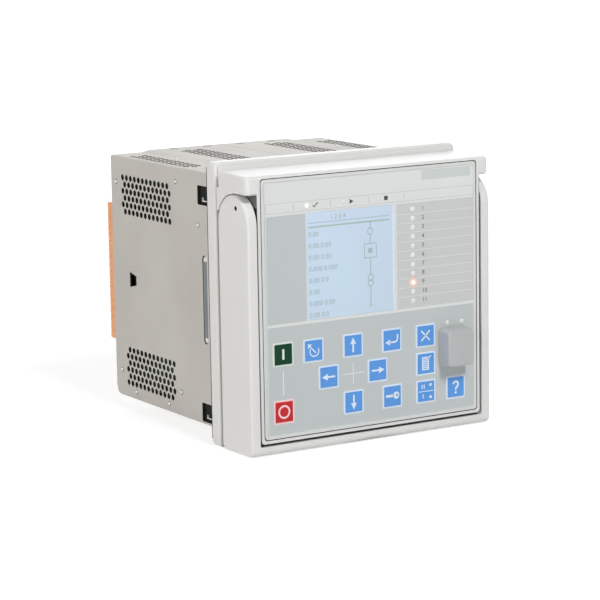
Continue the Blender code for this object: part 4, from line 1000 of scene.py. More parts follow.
    def _half(self, side: int, node: str) -> None:
        """One half of the case, drawn flat with all its holes and then folded.

        Args:
            side: -1 for the left half, 1 for the right one.
            node: The CAD node that it replaces.
        """
        path = self._path(side)
        lengths = [0.0]
        for a, b in zip(path, path[1:]):
            lengths.append(lengths[-1] + math.dist(a, b))

        def unrolled(x: float, z: float) -> float:
            best = min(range(len(path)), key=lambda i: math.dist(path[i], (x, z)))
            options = []
            for i in (max(best - 1, 0), min(best, len(path) - 2)):
                a, b = Vector(path[i]), Vector(path[i + 1])
                share = min(max((Vector((x, z)) - a).dot(b - a) / (b - a).length_squared, 0), 1)
                options.append(((a.lerp(b, share) - Vector((x, z))).length, lengths[i] + share * (b - a).length))
            return min(options)[1]

        outer, bottom = -side * self._low.x, self._low.z
        front, rear = self._low.y, self._high.y
        down = [(unrolled(outer, bottom + up), rear - ahead) for ahead, up in ((0, 6 * MM), (1.5 * MM, 2.1 * MM))]
        turned = unrolled(side * (abs(outer) - 2 * self.FOLD), bottom)
        outlines = [[(0, front), (lengths[-1], front), (lengths[-1], rear - 9 * MM), (turned, rear - 9 * MM)]]
        outlines[0] += [*down[::-1], (0, rear)]
        for y, z, stagger in self.SIDE_VENTS:
            outlines += self._vents(unrolled(outer, z), y, 12, 6, stagger)
        for x, rows in self.TOP_VENTS:
            outlines += self._vents(unrolled(side * x, self._high.z - (self.RISE if x > 53 * MM else 0)), 82 * MM, 14, rows, 0.25)
        for z in (65.3 * MM, -72.1 * MM):
            u = unrolled(outer, z)
            outlines.append(rounded(u - 6 * MM, u + 6 * MM, 8 * MM, 23 * MM, 0.8 * MM, 2))
        u = unrolled(outer, 0)
        outlines.append(rounded(u - 28 * MM, u + 28 * MM, 13.05 * MM, 18.55 * MM, 2.74 * MM, 5))
        latch = [(-5.05, 116.3), (5.05, 116.3), (3.0, 107.3), (-3.0, 107.3)]
        outlines.append([(u + a * MM, y * MM) for a, y in latch])
        for x in (12.5, 37.5):
            u = unrolled(side * x * MM, self._high.z)
            outlines.append(rounded(u - 3.25 * MM, u + 3.25 * MM, 131.9 * MM, 134.1 * MM, 0.4 * MM, 2))
        part = prism_mesh(outlines, "z", -self.SHEET / 2, self.SHEET / 2)
        for length in lengths[1:-1]:
            everything = part.verts[:] + part.edges[:] + part.faces[:]
            bmesh.ops.bisect_plane(part, geom=everything, dist=0.001 * MM, plane_co=(length, 0, 0), plane_no=(1, 0, 0))
        sketch = self._relay.sketch()
        # The outer face keeps the sheet's colour; the cut edges and the inner face are darker: painted shade that makes
        # the vents and the case's inside look dark.
        looks = [sketch.look(name) for name in (Slot.SHEET, "cut_edge_shade", "sheet_inside_shade")]
        for face in part.faces:
            height = face.calc_center_median().z / self.SHEET
            face.material_index = looks[0] if height > 0.45 else looks[2] if height < -0.45 else looks[1]
        normals = path_normals(path, side)
        for vert in part.verts:
            i = max(k for k in range(len(lengths) - 1) if lengths[k] <= vert.co.x + 0.002 * MM)
            share = (vert.co.x - lengths[i]) / (lengths[i + 1] - lengths[i])
            spot = Vector(path[i]).lerp(Vector(path[i + 1]), share)
            away = normals[i].lerp(normals[i + 1], share)
            spot += away * (vert.co.z - self.SHEET / 2)
            vert.co = (spot.x, vert.co.y, spot.y)
        bmesh.ops.recalc_face_normals(part, faces=part.faces)
        sketch.add(part, None)
        self._pressed_bar(sketch, side)
        self._clip(sketch, side)
        # Studs: a dark ring, painted shade, round a dome lighter than the sheet, painted highlight.
        for y, z in self.STUDS:
            centre = Vector((outer, y * MM, z * MM))
            for shape, look in ((self.STUD_SHADE_RIM, "cut_edge_shade"), (self.STUD, "pale_steel_and_highlight")):
                turned = [(radius * MM, along * MM * side) for radius, along in shape]
                sketch.lathe(turned, centre, "x", look, 16)
        # The same on the roof: dark ring as painted shade, light dome as painted highlight.
        roof = Vector((side * 61 * MM, 86 * MM, self._high.z - self.RISE))
        for shape, look in ((self.STUD_SHADE_RIM, "cut_edge_shade"), (self.STUD, "pale_steel_and_highlight")):
            sketch.lathe([(radius * MM, along * MM) for radius, along in shape], roof, "z", look, 16)
        sketch.finish(f"{node}_sheet", Body.CASE, Slot.SHEET, node, smooth=30)

    def _pressed_bar(self, sketch: Sketch, side: int) -> None:
        """The rounded bar that is pressed up in the long slot beside the flange."""
        outer = -side * self._low.x
        ends = sorted((outer - side * 0.15 * MM, outer - side * 3.4 * MM))
        bar = rounded(13.2 * MM, 18.4 * MM, -24.4 * MM, 24.4 * MM, 0.5 * MM)
        sketch.prism([bar], "x", *ends, "pressed_bar", 0.5 * MM, 3)
        # Light caps at both ends of the bar: painted highlight.
        for end in (-1, 1):
            tip = rounded(13.2 * MM, 18.4 * MM, end * 25.2 * MM - 2.6 * MM, end * 25.2 * MM + 2.6 * MM, 2.5 * MM, 6)
            sketch.prism([tip], "x", *ends, "pale_steel_and_highlight", 1.4 * MM, 4)

    def _clip(self, sketch: Sketch, side: int) -> None:
        """The spring clip and its rivet behind each clip opening.

        Args:
            sketch: The piece to add it to.
            side: -1 for the left half, 1 for the right one.
        """
        outer = -side * self._low.x
        ends = sorted((outer - side * 1.5 * MM, outer - side * 1.25 * MM))
        for z in (65.3, -72.1):
            for y, up, wide, high, look in ((15, -3.6, 9, 0.7, "pale_steel_and_highlight"), (12.5, -1.4, 1.2, 2.6, "pale_steel_and_highlight"), (18.4, -2.2, 2.2, 1.6, "clip_green")):
                tab = rounded((y - wide / 2) * MM, (y + wide / 2) * MM, (z + up - high / 2) * MM, (z + up + high / 2) * MM, 0.3 * MM, 2)
                sketch.prism([tab], "x", *ends, look)

    def _vents(self, across: float, along: float, columns: int, rows: int, stagger: float) -> list[Outline]:
        """Circles of a staggered group of vents, in the flat sheet."""
        holes = []
        for row in range(rows):
            shift = stagger if row % 2 else -stagger
            u = across - self.VENT_PITCH.y * ((rows - 1) / 2 - row)
            for column in range(columns):
                y = along + self.VENT_PITCH.x * ((columns - 1) / 2 - column - shift)
                holes.append(circle(u, y, self.VENT, 14))
        return holes

    def _flange(self) -> None:
        """The moulded flange, with the seat for the case behind."""
        low, high = self._relay.span("front_flange")
        mouth_w, mouth_h = 79.3 * MM, 77.3 * MM
        outlines = [rounded(low.x, high.x, low.z, high.z, 3.6 * MM, 8)]
        ring = prism_mesh(outlines, "y", low.y, high.y, 1.5 * MM, 3)
        mouth = prism_mesh([rounded(-mouth_w, mouth_w, -mouth_h, mouth_h, 1 * MM)], "y", 2 * low.y, -low.y)
        case_low, case_high = self._low, self._high
        seat = box_mesh(
            (case_low.x - FIT, -case_low.x + FIT), (case_low.y - FIT, -low.y), (case_low.z - FIT, case_high.z + FIT)
        )
        sketch = self._relay.sketch()
        sketch.add(combined(ring, [(mouth, "DIFFERENCE"), (seat, "DIFFERENCE")]), Slot.SHELL)
        sketch.finish("flange_moulding", Body.CASE, Slot.SHELL, "front_flange", smooth=30)


class FrontPieces:
    """The front housing with its visor, and the handle."""

    def __init__(self, relay: Relay) -> None:
        self._relay = relay
        self._low, self._high = relay.span("front_housing")
        self._arm_low, self._arm_high = relay.span("handle")
        self._arc = Vector((-30.9, 53.0)) * MM
        self._arc_radius = 18.0 * MM
        self._arm_inner = 82.1 * MM

    def build(self) -> None:
        """Makes the housing and the handle."""
        self._housing()
        self._handle()

    def _visor(self) -> bmesh.types.BMesh:
        """The roof over the handle: rounded in plan, with soft edges and a slight fall to the front."""
        low, high = self._low, self._high
        under, fall = 71.7 * MM, 1.1 * MM
        plan = rounded(low.x, high.x, low.y, -12.4 * MM, 3.4 * MM, 8)
        roof = prism_mesh([plan], "z", under, high.z, 1.9 * MM, 4)
        for vert in roof.verts:
            if vert.co.z > under + 3 * MM:
                vert.co.z -= fall * (-12.4 * MM - vert.co.y) / (-12.4 * MM - low.y)
        return roof

    def _housing(self) -> None:
        """The moulded front of the plug-in unit."""
        low = self._low
        half_w, bottom, rear = 80.9 * MM, -80.6 * MM, -12.4 * MM
        body = prism_mesh([rounded(-half_w, half_w, bottom, 79 * MM, 2.2 * MM)], "y", low.y, rear, 0.4 * MM)
        plate = rounded(low.x + 7 * MM, -low.x - 7 * MM, -81.6 * MM, 80 * MM, 2 * MM)
        back = prism_mesh([plate], "y", rear - 0.6 * MM, -11 * MM)
        steps = [(self._visor(), "UNION"), (back, "UNION")]
        for side in (-1, 1):
            fill = sorted((side * 79 * MM, side * 88.15 * MM))
            steps.append((box_mesh(fill, (self._arc.x, -12.1 * MM), (60.2 * MM, 74 * MM)), "UNION"))
        for side in (-1, 1):
            ends = sorted((side * 81.4 * MM, side * 93 * MM))
            spot = circle(self._arc.x, self._arc.y, 2 * self._arc_radius + 0.9 * MM, 64)
            steps.append((prism_mesh([spot], "x", *ends), "DIFFERENCE"))
            eye = circle(-35 * MM, 63.3 * MM, 5.6 * MM, 20)
            steps.append((prism_mesh([eye], "x", *sorted((side * 72 * MM, side * 91 * MM))), "DIFFERENCE"))
        pocket = rounded(-78.9 * MM, 78.9 * MM, -78.6 * MM, 81.4 * MM, 2 * MM)
        steps.append((prism_mesh([pocket], "y", -53 * MM, -44.9 * MM), "DIFFERENCE"))
        steps.append((box_mesh((-76 * MM, 76 * MM), (-50 * MM, -15 * MM), (-75.9 * MM, 78.7 * MM)), "DIFFERENCE"))
        steps.append((box_mesh((-60.1 * MM, 60.1 * MM), (-25 * MM, 0), (-59.8 * MM, 59.8 * MM)), "DIFFERENCE"))
        sketch = self._relay.sketch()
        sketch.add(combined(body, steps), Slot.SHELL)
        self._handle_gap_shade(sketch, half_w, bottom)
        self._flange_groove_shade(sketch, rear)
        collar = rounded(-86.6 * MM, 86.6 * MM, 78 * MM, 86.4 * MM, 1.6 * MM)
        sketch.prism([collar], "y", -12.9 * MM, -10.85 * MM, Slot.SHELL, 0.5 * MM)
        sketch.finish("housing_moulding", Body.UNIT, Slot.SHELL, "front_housing", smooth=30)

    @staticmethod
    def _flange_groove_shade(sketch: Sketch, rear: float) -> None:
        """A grey band in the groove between the housing and the flange, down both sides and along the bottom: painted
        shade that darkens the groove.

        Args:
            sketch: The piece to add it to.
            rear: Where the housing's body ends.
        """
        w, h, top, inner_w, inner_h = (value * MM for value in (87.5, 87.2, 62.0, 82.4, 82.0))
        gap_shade = [(-w, top), (-w, -h), (w, -h), (w, top), (inner_w, top), (inner_w, -inner_h), (-inner_w, -inner_h), (-inner_w, top)]
        sketch.prism([gap_shade], "y", rear - 0.35 * MM, -10.8 * MM, "groove_shade_grey")

    def _handle_gap_shade(self, sketch: Sketch, half_w: float, bottom: float) -> None:
        """A black strip round the housing's sides and bottom, in the gap to the handle: painted shade that darkens the
        gap. Dark grey patches on the housing's sides under the visor: painted shade of the recess behind the handle's
        round tops.

        Args:
            sketch: The piece to add it to.
            half_w: Half the housing's width.
            bottom: The housing's lowest place.
        """
        thick, top, corner = 0.35 * MM, 64 * MM, 2.2 * MM
        path = [(-half_w, top), (-half_w, bottom + corner)]
        path += arc_points((-half_w + corner, bottom + corner), corner, 180, 270, 6)[1:]
        path += [(-x, z) for x, z in path[::-1]]
        outer = [(x * (1 + thick / half_w), z * (1 - thick / bottom) if z < 0 else z) for x, z in path]
        strip = [*outer, *[(x * 0.999, z * 0.999 if z < 0 else z) for x, z in path[::-1]]]
        front = self._low.y + 0.45 * MM
        # Black strip in the gap to the handle: painted shade.
        sketch.prism([strip], "y", front, front + 12 * MM, Slot.RUBBER)
        # Dark grey patches under the visor, behind the handle's round tops: painted shade of the recess.
        for side in (-1, 1):
            cheek = sorted((side * (half_w - 0.1 * MM), side * (half_w + thick)))
            sides = (front, front + 26 * MM, top - 0.1 * MM, 71.5 * MM)
            sketch.prism([rounded(*sides, 0)], "x", *cheek, "recess_shade_grey")

    def _handle(self) -> None:
        """The handle: two arms with round tops and the bar under the panel, with a finger scoop."""
        low, high = self._arm_low, self._arm_high
        front, back = low.y, high.y
        outline = [(self._arc.x + self._arc_radius * math.cos(t), self._arc.y + self._arc_radius * math.sin(t))
                   for t in (math.pi * k / 32 for k in range(33))]
        foot = 4 * MM
        outline += [p for p in rounded(front, back, low.z, 0, foot, 8) if p[1] < low.z + 1.01 * foot]
        solid = prism_mesh([outline], "x", low.x, high.x, 1.5 * MM, 4)
        inner = self._arm_inner
        space = rounded(-inner, inner, low.z + 5.9 * MM, 120 * MM, 1 * MM, 3)
        steps = [(prism_mesh([space], "y", 2 * front, -2 * front), "DIFFERENCE")]
        for side in (-1, 1):
            bore = circle(-35 * MM, 63.3 * MM, 5.6 * MM, 20)
            steps.append((prism_mesh([bore], "x", *sorted((side * 78 * MM, side * 86 * MM))), "DIFFERENCE"))
            eye = circle(-35 * MM, 63.3 * MM, 3 * MM, 20)
            steps.append((prism_mesh([eye], "x", *sorted((side * 84 * MM, side * 95 * MM))), "DIFFERENCE"))
        scoop = arc_through((-25.5 * MM, low.z - 0.3 * MM), (0, low.z + 2.2 * MM), (26.5 * MM, low.z - 0.3 * MM), 20)
        scoop += [(26.5 * MM, low.z - 6 * MM), (-25.5 * MM, low.z - 6 * MM)]
        steps.append((prism_mesh([scoop], "y", front - 3 * MM, front + 3 * MM), "DIFFERENCE"))
        sketch = self._relay.sketch()
        sketch.add(combined(solid, steps), Slot.SHELL)
        # Black discs in the pivot eyes: painted shade of the holes.
        for side in (-1, 1):
            depth = sorted((side * 86.2 * MM, side * 88.0 * MM))
            sketch.prism([circle(-35 * MM, 63.3 * MM, 3.02 * MM, 20)], "x", *depth, "hole_shade_black")
        sketch.finish("handle_moulding", Body.HANDLE, Slot.SHELL, "handle", smooth=30)


@dataclass(frozen=True)
class Zone:
    """A printed area of the panel's film, in millimetres.

    Attributes:
        x0: Left edge.
        x1: Right edge.
        z0: Lower edge.
        z1: Upper edge.
        look: Its material.
    """

    x0: float
    x1: float
    z0: float
    z1: float
    look: str

    def outline(self, inset: float = 0.0, radius: float = 0.4) -> Outline:
        """Its outline in metres.

        Args:
            inset: How far to draw it in, in millimetres.
            radius: Corner radius in millimetres.

        Returns:
            The outline's points.
        """
        edges = (self.x0 + inset, self.x1 - inset, self.z0 + inset, self.z1 - inset)
        return rounded(*(edge * MM for edge in edges), radius * MM, 3)


class PanelPieces:
    """The operator panel: border, printed film, display, lights, keys and the port's cover."""

    ZONES = (
        Zone(-75.4, -47.6, -7.6, 58.2, Slot.OVERLAY),
        Zone(18.6, 76.0, -7.6, 58.2, "film_middle"),
        Zone(-75.4, 76.0, -75.6, -9.4, Slot.OVERLAY),
    )
    STATUS_TICKS = (-55.8, -29.3, -1.7, 24.2)
    STATUS_Z = (59.7, 65.9)
    FILM_GAP = 0.06 * MM
    LIT = {"alarm_light_guide": {8: "lit_red"}, "status_light_guide": {0: "lit_green"}}

    def __init__(self, relay: Relay) -> None:
        self._relay = relay
        self._face = relay.span("overlay")[0].y
        self._plate_low, self._plate_high = relay.span("panel_plate")
        self._keys = [name for name in relay.nodes if name.startswith("key_") and name != "key_switch_board"]

    def build(self) -> None:
        """Makes the panel's pieces."""
        self._border()
        self._film()
        self._display()
        for node in ("alarm_light_guide", "status_light_guide", "port_light_guide"):
            self._lights(node)
        for node in self._keys:
            KeyCap(self._relay, node).build()
        self._port_cover()

    def _openings(self, gap: float) -> list[Outline]:
        """Outlines of the holes for the keys, the display and the front jack.

        Args:
            gap: Clearance round each.

        Returns:
            The outlines.
        """
        holes = []
        for node in (*self._keys, "display_window", "front_jack"):
            low, high = self._relay.span(node)
            holes.append(rounded(low.x - gap, high.x + gap, low.z - gap, high.z + gap, 0.8 * MM, 3))
        return holes

    def _light_holes(self, gap: float) -> list[Outline]:
        """Outlines of the holes for the lights."""
        holes = []
        for node, (spots, diameter) in self._light_spots().items():
            holes += [circle(x, z, diameter + 2 * gap, 20) for x, z in spots]
        return holes

    def _light_spots(self) -> dict[str, tuple[Outline, float]]:
        """The place of each light and the diameter of each group."""
        spots: dict[str, tuple[Outline, float]] = {}
        for node, count, diameter in (
            ("alarm_light_guide", 11, 3.6), ("status_light_guide", 3, 2.6), ("port_light_guide", 2, 3.1)
        ):
            low, high = self._relay.span(node)
            first, last = Vector((low.x, high.z)), Vector((high.x, low.z))
            margin = Vector((1, -1)) * 1.8 * MM
            a, b = first + margin, last - margin
            line = [tuple(a.lerp(b, k / (count - 1))) for k in range(count)]
            spots[node] = (line, diameter * MM)
        x = self._relay.status_x()
        z = spots["status_light_guide"][0][0][1]
        spots["status_light_guide"] = ([(place, z) for place in x], 2.6 * MM)
        return spots

    def _border(self) -> None:
        """The border plate: a raised rim and a floor behind the film."""
        low, high = self._plate_low, self._plate_high
        seam = 0.22 * MM
        outer = rounded(low.x + seam, high.x - seam, low.z + seam, high.z - seam, 2.0 * MM)
        rim = 2.4 * MM
        inner = rounded(low.x + rim, high.x - rim, low.z + rim, high.z - rim, 0.8 * MM)
        sketch = self._relay.sketch()
        sketch.prism([outer, inner], "y", low.y, high.y, Slot.BORDER, 0.2 * MM, 3)
        holes = self._openings(FIT) + self._light_holes(FIT)
        floor_front = self._face + 0.9 * MM
        sketch.prism([rounded(low.x + rim / 2, high.x - rim / 2, low.z + rim / 2, high.z - rim / 2, 1 * MM), *holes],
                     "y", floor_front, high.y, Slot.BORDER)
        # A black ring in the thin gap round the plate: painted shade that darkens the gap.
        gap_shade = [rounded(low.x - g, high.x + g, low.z - g, high.z + g, 2.2 * MM) for g in (0.28 * MM, 0.02 * MM - seam)]
        sketch.prism(gap_shade, "y", low.y + 0.1 * MM, high.y - 0.1 * MM, Slot.RUBBER)
        sketch.finish("panel_border", Body.UNIT, Slot.BORDER, "panel_plate", smooth=30)

    def _film(self) -> None:
        """The film with its printed areas and lines."""
        low, high = self._relay.span("overlay")
        sketch = self._relay.sketch()
        holes = self._openings(self.FILM_GAP) + self._light_holes(self.FILM_GAP)
        grow = 0.22 * MM
        film = rounded(low.x - grow, high.x + grow, low.z - grow, high.z + grow, 0.6 * MM)
        sketch.prism([film, *holes], "y", low.y, high.y, "film_light")
        face = self._face
        for zone in self.ZONES:
            inside = [hole for hole in holes if self._within(hole, zone)]
            sketch.prism([zone.outline(), *inside], "y", face - PRINT_RISE, face + SEAT, zone.look)
        self._status_bar(sketch)
        self._alarm_rows(sketch)
        self._keypad_lines(sketch)
        self._key_frames(sketch)
        sketch.finish("printed_film", Body.UNIT, Slot.OVERLAY, "overlay", smooth=30)

    @staticmethod
    def _within(hole: Outline, zone: Zone) -> bool:
        """Whether a hole's middle lies in a zone."""
        x = sum(point[0] for point in hole) / len(hole) / MM
        z = sum(point[1] for point in hole) / len(hole) / MM
        return zone.x0 < x < zone.x1 and zone.z0 < z < zone.z1

    def _mark(self, sketch: Sketch, outlines: list[Outline], look: str, layers: int = 2) -> None:
        """Prints outlines in front of the film, in a layer above the areas."""
        front = self._face - layers * PRINT_RISE
        sketch.prism(outlines, "y", front, front + PRINT_RISE + SEAT, look)

    def _status_bar(self, sketch: Sketch) -> None:
        """The row of general states, with a blank field beside each light, and the field for the type."""
        z0, z1 = self.STATUS_Z
        frame = Zone(-75.4, 76.7, z0, z1, "print_line")
        self._mark(sketch, [frame.outline(), frame.outline(0.3)], "print_line", 1)
        self._mark(sketch, [Zone(75.75, 76.05, -7.6, z0 - 0.6, "").outline(radius=0)], "print_line", 2)
        for x in self.STATUS_TICKS:
            self._mark(sketch, [Zone(x - 0.25, x + 0.25, z0 + 1.2, z1 - 1.2, "").outline(radius=0)], "print_line", 1)
        symbols = (
            [stroke([(0, 0), (1.1, -1.3), (3.6, 1.6)], 0.65)],
            [[(0, -1.5), (2.9, 0), (0, 1.5)]],
            [[(0, -1.3), (2.7, -1.3), (2.7, 1.3), (0, 1.3)]],
        )
        for x, outlines in zip(self._relay.status_x(), symbols):
            moved = [[(x + (4.2 + a) * MM, (62.9 + b) * MM) for a, b in outline] for outline in outlines]
            self._mark(sketch, moved, "print_dark", 1)
        self._mark(sketch, [Zone(37.4, 74.0, 72.0, 78.0, "").outline(radius=0.3)], "film_field", 1)

    def _alarm_rows(self, sketch: Sketch) -> None:
        """Lines between the alarm lights, a plain number beside each and the glow round the lit one."""
        spots, diameter = self._light_spots()["alarm_light_guide"]
        pitch = spots[0][1] - spots[1][1]
        for row in self.LIT["alarm_light_guide"]:
            inner = circle(*spots[row], diameter + 2 * self.FILM_GAP, 24)
            for wider, look in ((1.3 * MM, "glow_near"), (2.9 * MM, "glow_far"), (4.6 * MM, "glow_edge")):
                outer = circle(*spots[row], diameter + wider, 24)
                self._mark(sketch, [outer, inner], look, 3)
                inner = circle(*spots[row], diameter + wider + 2 * SEAT, 24)
        for row, (x, z) in enumerate(spots):
            if row:
                line = Zone(19.2, 75.4, (z + pitch / 2) / MM - 0.14, (z + pitch / 2) / MM + 0.14, "")
                self._mark(sketch, [line.outline(radius=0)], "print_white")
            at = Vector((x + 6.6 * MM, self._face - 1.5 * PRINT_RISE, z))
            sketch.text(str(row + 1), 3.8 * MM, at, "print_dark")

    def _key_frames(self, sketch: Sketch) -> None:
        """The light edge that is printed round each key."""
        for node in self._keys:
            low, high = self._relay.span(node)
            gap, wide = self.FILM_GAP, 0.75 * MM
            inner = rounded(low.x - gap, high.x + gap, low.z - gap, high.z + gap, 0.8 * MM, 3)
            reach = gap + wide
            outer = rounded(low.x - reach, high.x + reach, low.z - reach, high.z + reach, 0.9 * MM, 3)
            self._mark(sketch, [outer, inner], KeyCap.EDGES.get(self._relay.slots[node], "key_edge"))

    def _keypad_lines(self, sketch: Sketch) -> None:
        """The cross between the arrow keys and the line between the two switching keys."""
        up = self._relay.span("key_up")
        left = self._relay.span("key_left")
        x, z = (up[0].x + up[1].x) / 2, (left[0].z + left[1].z) / 2
        for half_w, half_h in ((7.6 * MM, 0.3 * MM), (0.3 * MM, 6.6 * MM)):
            self._mark(sketch, [rounded(x - half_w, x + half_w, z - half_h, z + half_h, 0)], "print_white")
        low, high = self._relay.span("key_close")
        x = (low.x + high.x) / 2
        self._mark(sketch, [rounded(x - 0.35 * MM, x + 0.35 * MM, z - 7.4 * MM, z + 7.4 * MM, 0)], "print_white")

    def _display(self) -> None:
        """The display's window with a plain measurement page behind it: numbers and a line diagram."""
        low, high = self._relay.span("display_window")
        sketch = self._relay.sketch()
        sketch.prism([rounded(low.x, high.x, low.z, high.z, 0.5 * MM)], "y", low.y, high.y, Slot.DISPLAY, 0.12 * MM, 2)
        left, right, top = low.x / MM, high.x / MM, high.z / MM
        self._mark(sketch, [Zone(left + 1.5, right - 4.5, top - 9.4, top - 8.5, "").outline(radius=0)], "display_bar", 1)
        self._mark(sketch, [Zone(left + 1.5, right - 4.5, top - 6.6, top - 6.2, "").outline(radius=0)], "display_mark", 1)
        rows = ("0.00", "0.00 0.00", "0.00 0.00", "0.000 0.000", "0.00 0.0", "0.00", "0.000 0.00", "0.00 0.0")
        for row, words in enumerate(rows):
            at = Vector(((left + 1.4) * MM, self._face - PRINT_RISE, (top - 13.5 - 7.1 * row) * MM))
            sketch.text(words, 4.4 * MM, at, "display_mark")
        at = Vector(((left + 17) * MM, self._face - PRINT_RISE, (top - 3.8) * MM))
        sketch.text("1 2 3 4", 4.0 * MM, at, "display_mark")
        edge = Zone(right - 2.1, right - 0.1, low.z / MM + 0.2, top - 0.2, "")
        self._mark(sketch, [edge.outline(radius=0.2)], "display_edge", 1)
        self._diagram(sketch, right - 18.5, top)
        sketch.finish("display_glass", Body.UNIT, Slot.DISPLAY, "display_window", smooth=30)

    def _diagram(self, sketch: Sketch, x: float, top: float) -> None:
        """A single-line diagram: a feeder with its breaker and transformer.

        Args:
            x: Its line's place across, in millimetres.
            top: The display's top, in millimetres.
        """
        def line(x0: float, x1: float, z0: float, z1: float) -> Outline:
            return rounded(x0 * MM, x1 * MM, z0 * MM, z1 * MM, 0)

        wire, half, rim = 0.28, 4.6, 0.5
        runs = ((top - 13.2, top - 9), (top - 22.4, top - 16.8), (top - 41.6, top - 31.6), (top - 61, top - 49.4))
        parts = [[line(x - wire, x + wire, z0, z1)] for z0, z1 in runs]
        z = top - 27
        frame = line(x - half, x + half, z - half, z + half)
        parts.append([frame, line(x - half + rim, x + half - rim, z - half + rim, z + half - rim)])
        parts.append([line(x - 1.5, x + 1.5, z - 1.5, z + 1.5)])
        for z in (top - 15.0, top - 43.8, top - 47.2):
            parts.append([circle(x * MM, z * MM, 4.4 * MM, 20), circle(x * MM, z * MM, 3.4 * MM, 20)])
        parts.append([line(x - 1.4, x + 1.4, top - 61.4, top - 61.0)])
        for outlines in parts:
            self._mark(sketch, outlines, "display_mark", 1)

    def _lights(self, node: str) -> None:
        """The lenses of one group of lights, on their bar behind the film.

        Args:
            node: The CAD node.
        """
        spots, diameter = self._light_spots()[node]
        low, high = self._relay.span(node)
        sketch = self._relay.sketch()
        sketch.prism([rounded(low.x, high.x, low.z, high.z, 0.6 * MM)], "y", high.y - 2 * MM, high.y, Slot.LIGHT)
        radius = diameter / 2
        for k, (x, z) in enumerate(spots):
            look = self.LIT.get(node, {}).get(k, Slot.LIGHT)
            back = high.y - 1.5 * MM
            dome = [(0, back), (radius, back), (radius, self._face + 0.05 * MM)]
            dome.append((radius * 0.92, self._face - 0.12 * MM))
            dome += [(radius * 0.6, self._face - 0.26 * MM), (0, self._face - 0.32 * MM)]
            sketch.lathe([(r, along) for r, along in dome], Vector((x, 0, z)), "y", look, 20)
            if look == "lit_red":
                core = circle(x, z, 0.55 * diameter, 20)
                sketch.prism([core], "y", self._face - 0.36 * MM, self._face - 0.2 * MM, "lit_core")
        sketch.finish(node.replace("_guide", "_lenses"), Body.UNIT, Slot.LIGHT, node, smooth=50)

    def _port_cover(self) -> None:
        """The rounded cap over the front jack: drawn in towards a slightly crowned front, with its tongue."""
        low, high = self._relay.span("port_cover")
        back = self._face - FIT
        centre = Vector(((low.x + high.x) / 2, 0, (low.z + high.z) / 2))
        half_w, half_h, depth = (high.x - low.x) / 2, (high.z - low.z) / 2, back - low.y
        part = bmesh.new()
        rings = []
        for share, inset in ((0, 0.0), (0.3, 0.1), (0.88, 0.5), (0.95, 0.75), (0.985, 1.15), (1.0, 1.6)):
            w, h = half_w - inset * MM, half_h - inset * MM
            ring = []
            for x, z in rounded(-w, w, -h, h, 2.2 * MM, 6):
                crown = 0.8 * MM * ((x / half_w) ** 2 - 1) * share if z > 0 else 0
                ring.append(part.verts.new((centre.x + x, back - depth * share, centre.z + z - crown - 0.8 * MM * share)))
            rings.append(ring)
        for near, far in zip(rings, rings[1:]):
            for k in range(len(near)):
                part.faces.new((near[k - 1], near[k], far[k], far[k - 1]))
        tip = part.verts.new((centre.x, low.y + 0.02 * MM, centre.z))
        for k in range(len(rings[-1])):
            part.faces.new((rings[-1][k - 1], rings[-1][k], tip))
        part.faces.new(rings[0][::-1])
        bmesh.ops.recalc_face_normals(part, faces=part.faces)
        sketch = self._relay.sketch()
        sketch.add(part, Slot.COVER)
        sketch.prism([rounded(centre.x - 5.6 * MM, centre.x + 5.6 * MM, centre.z - 3.8 * MM, centre.z + 3.8 * MM, 0.6 * MM)],
                     "y", back - 2 * MM, high.y, Slot.COVER, 0.3 * MM)
        sketch.finish("port_cap", Body.COVER, Slot.COVER, "port_cover", smooth=50)


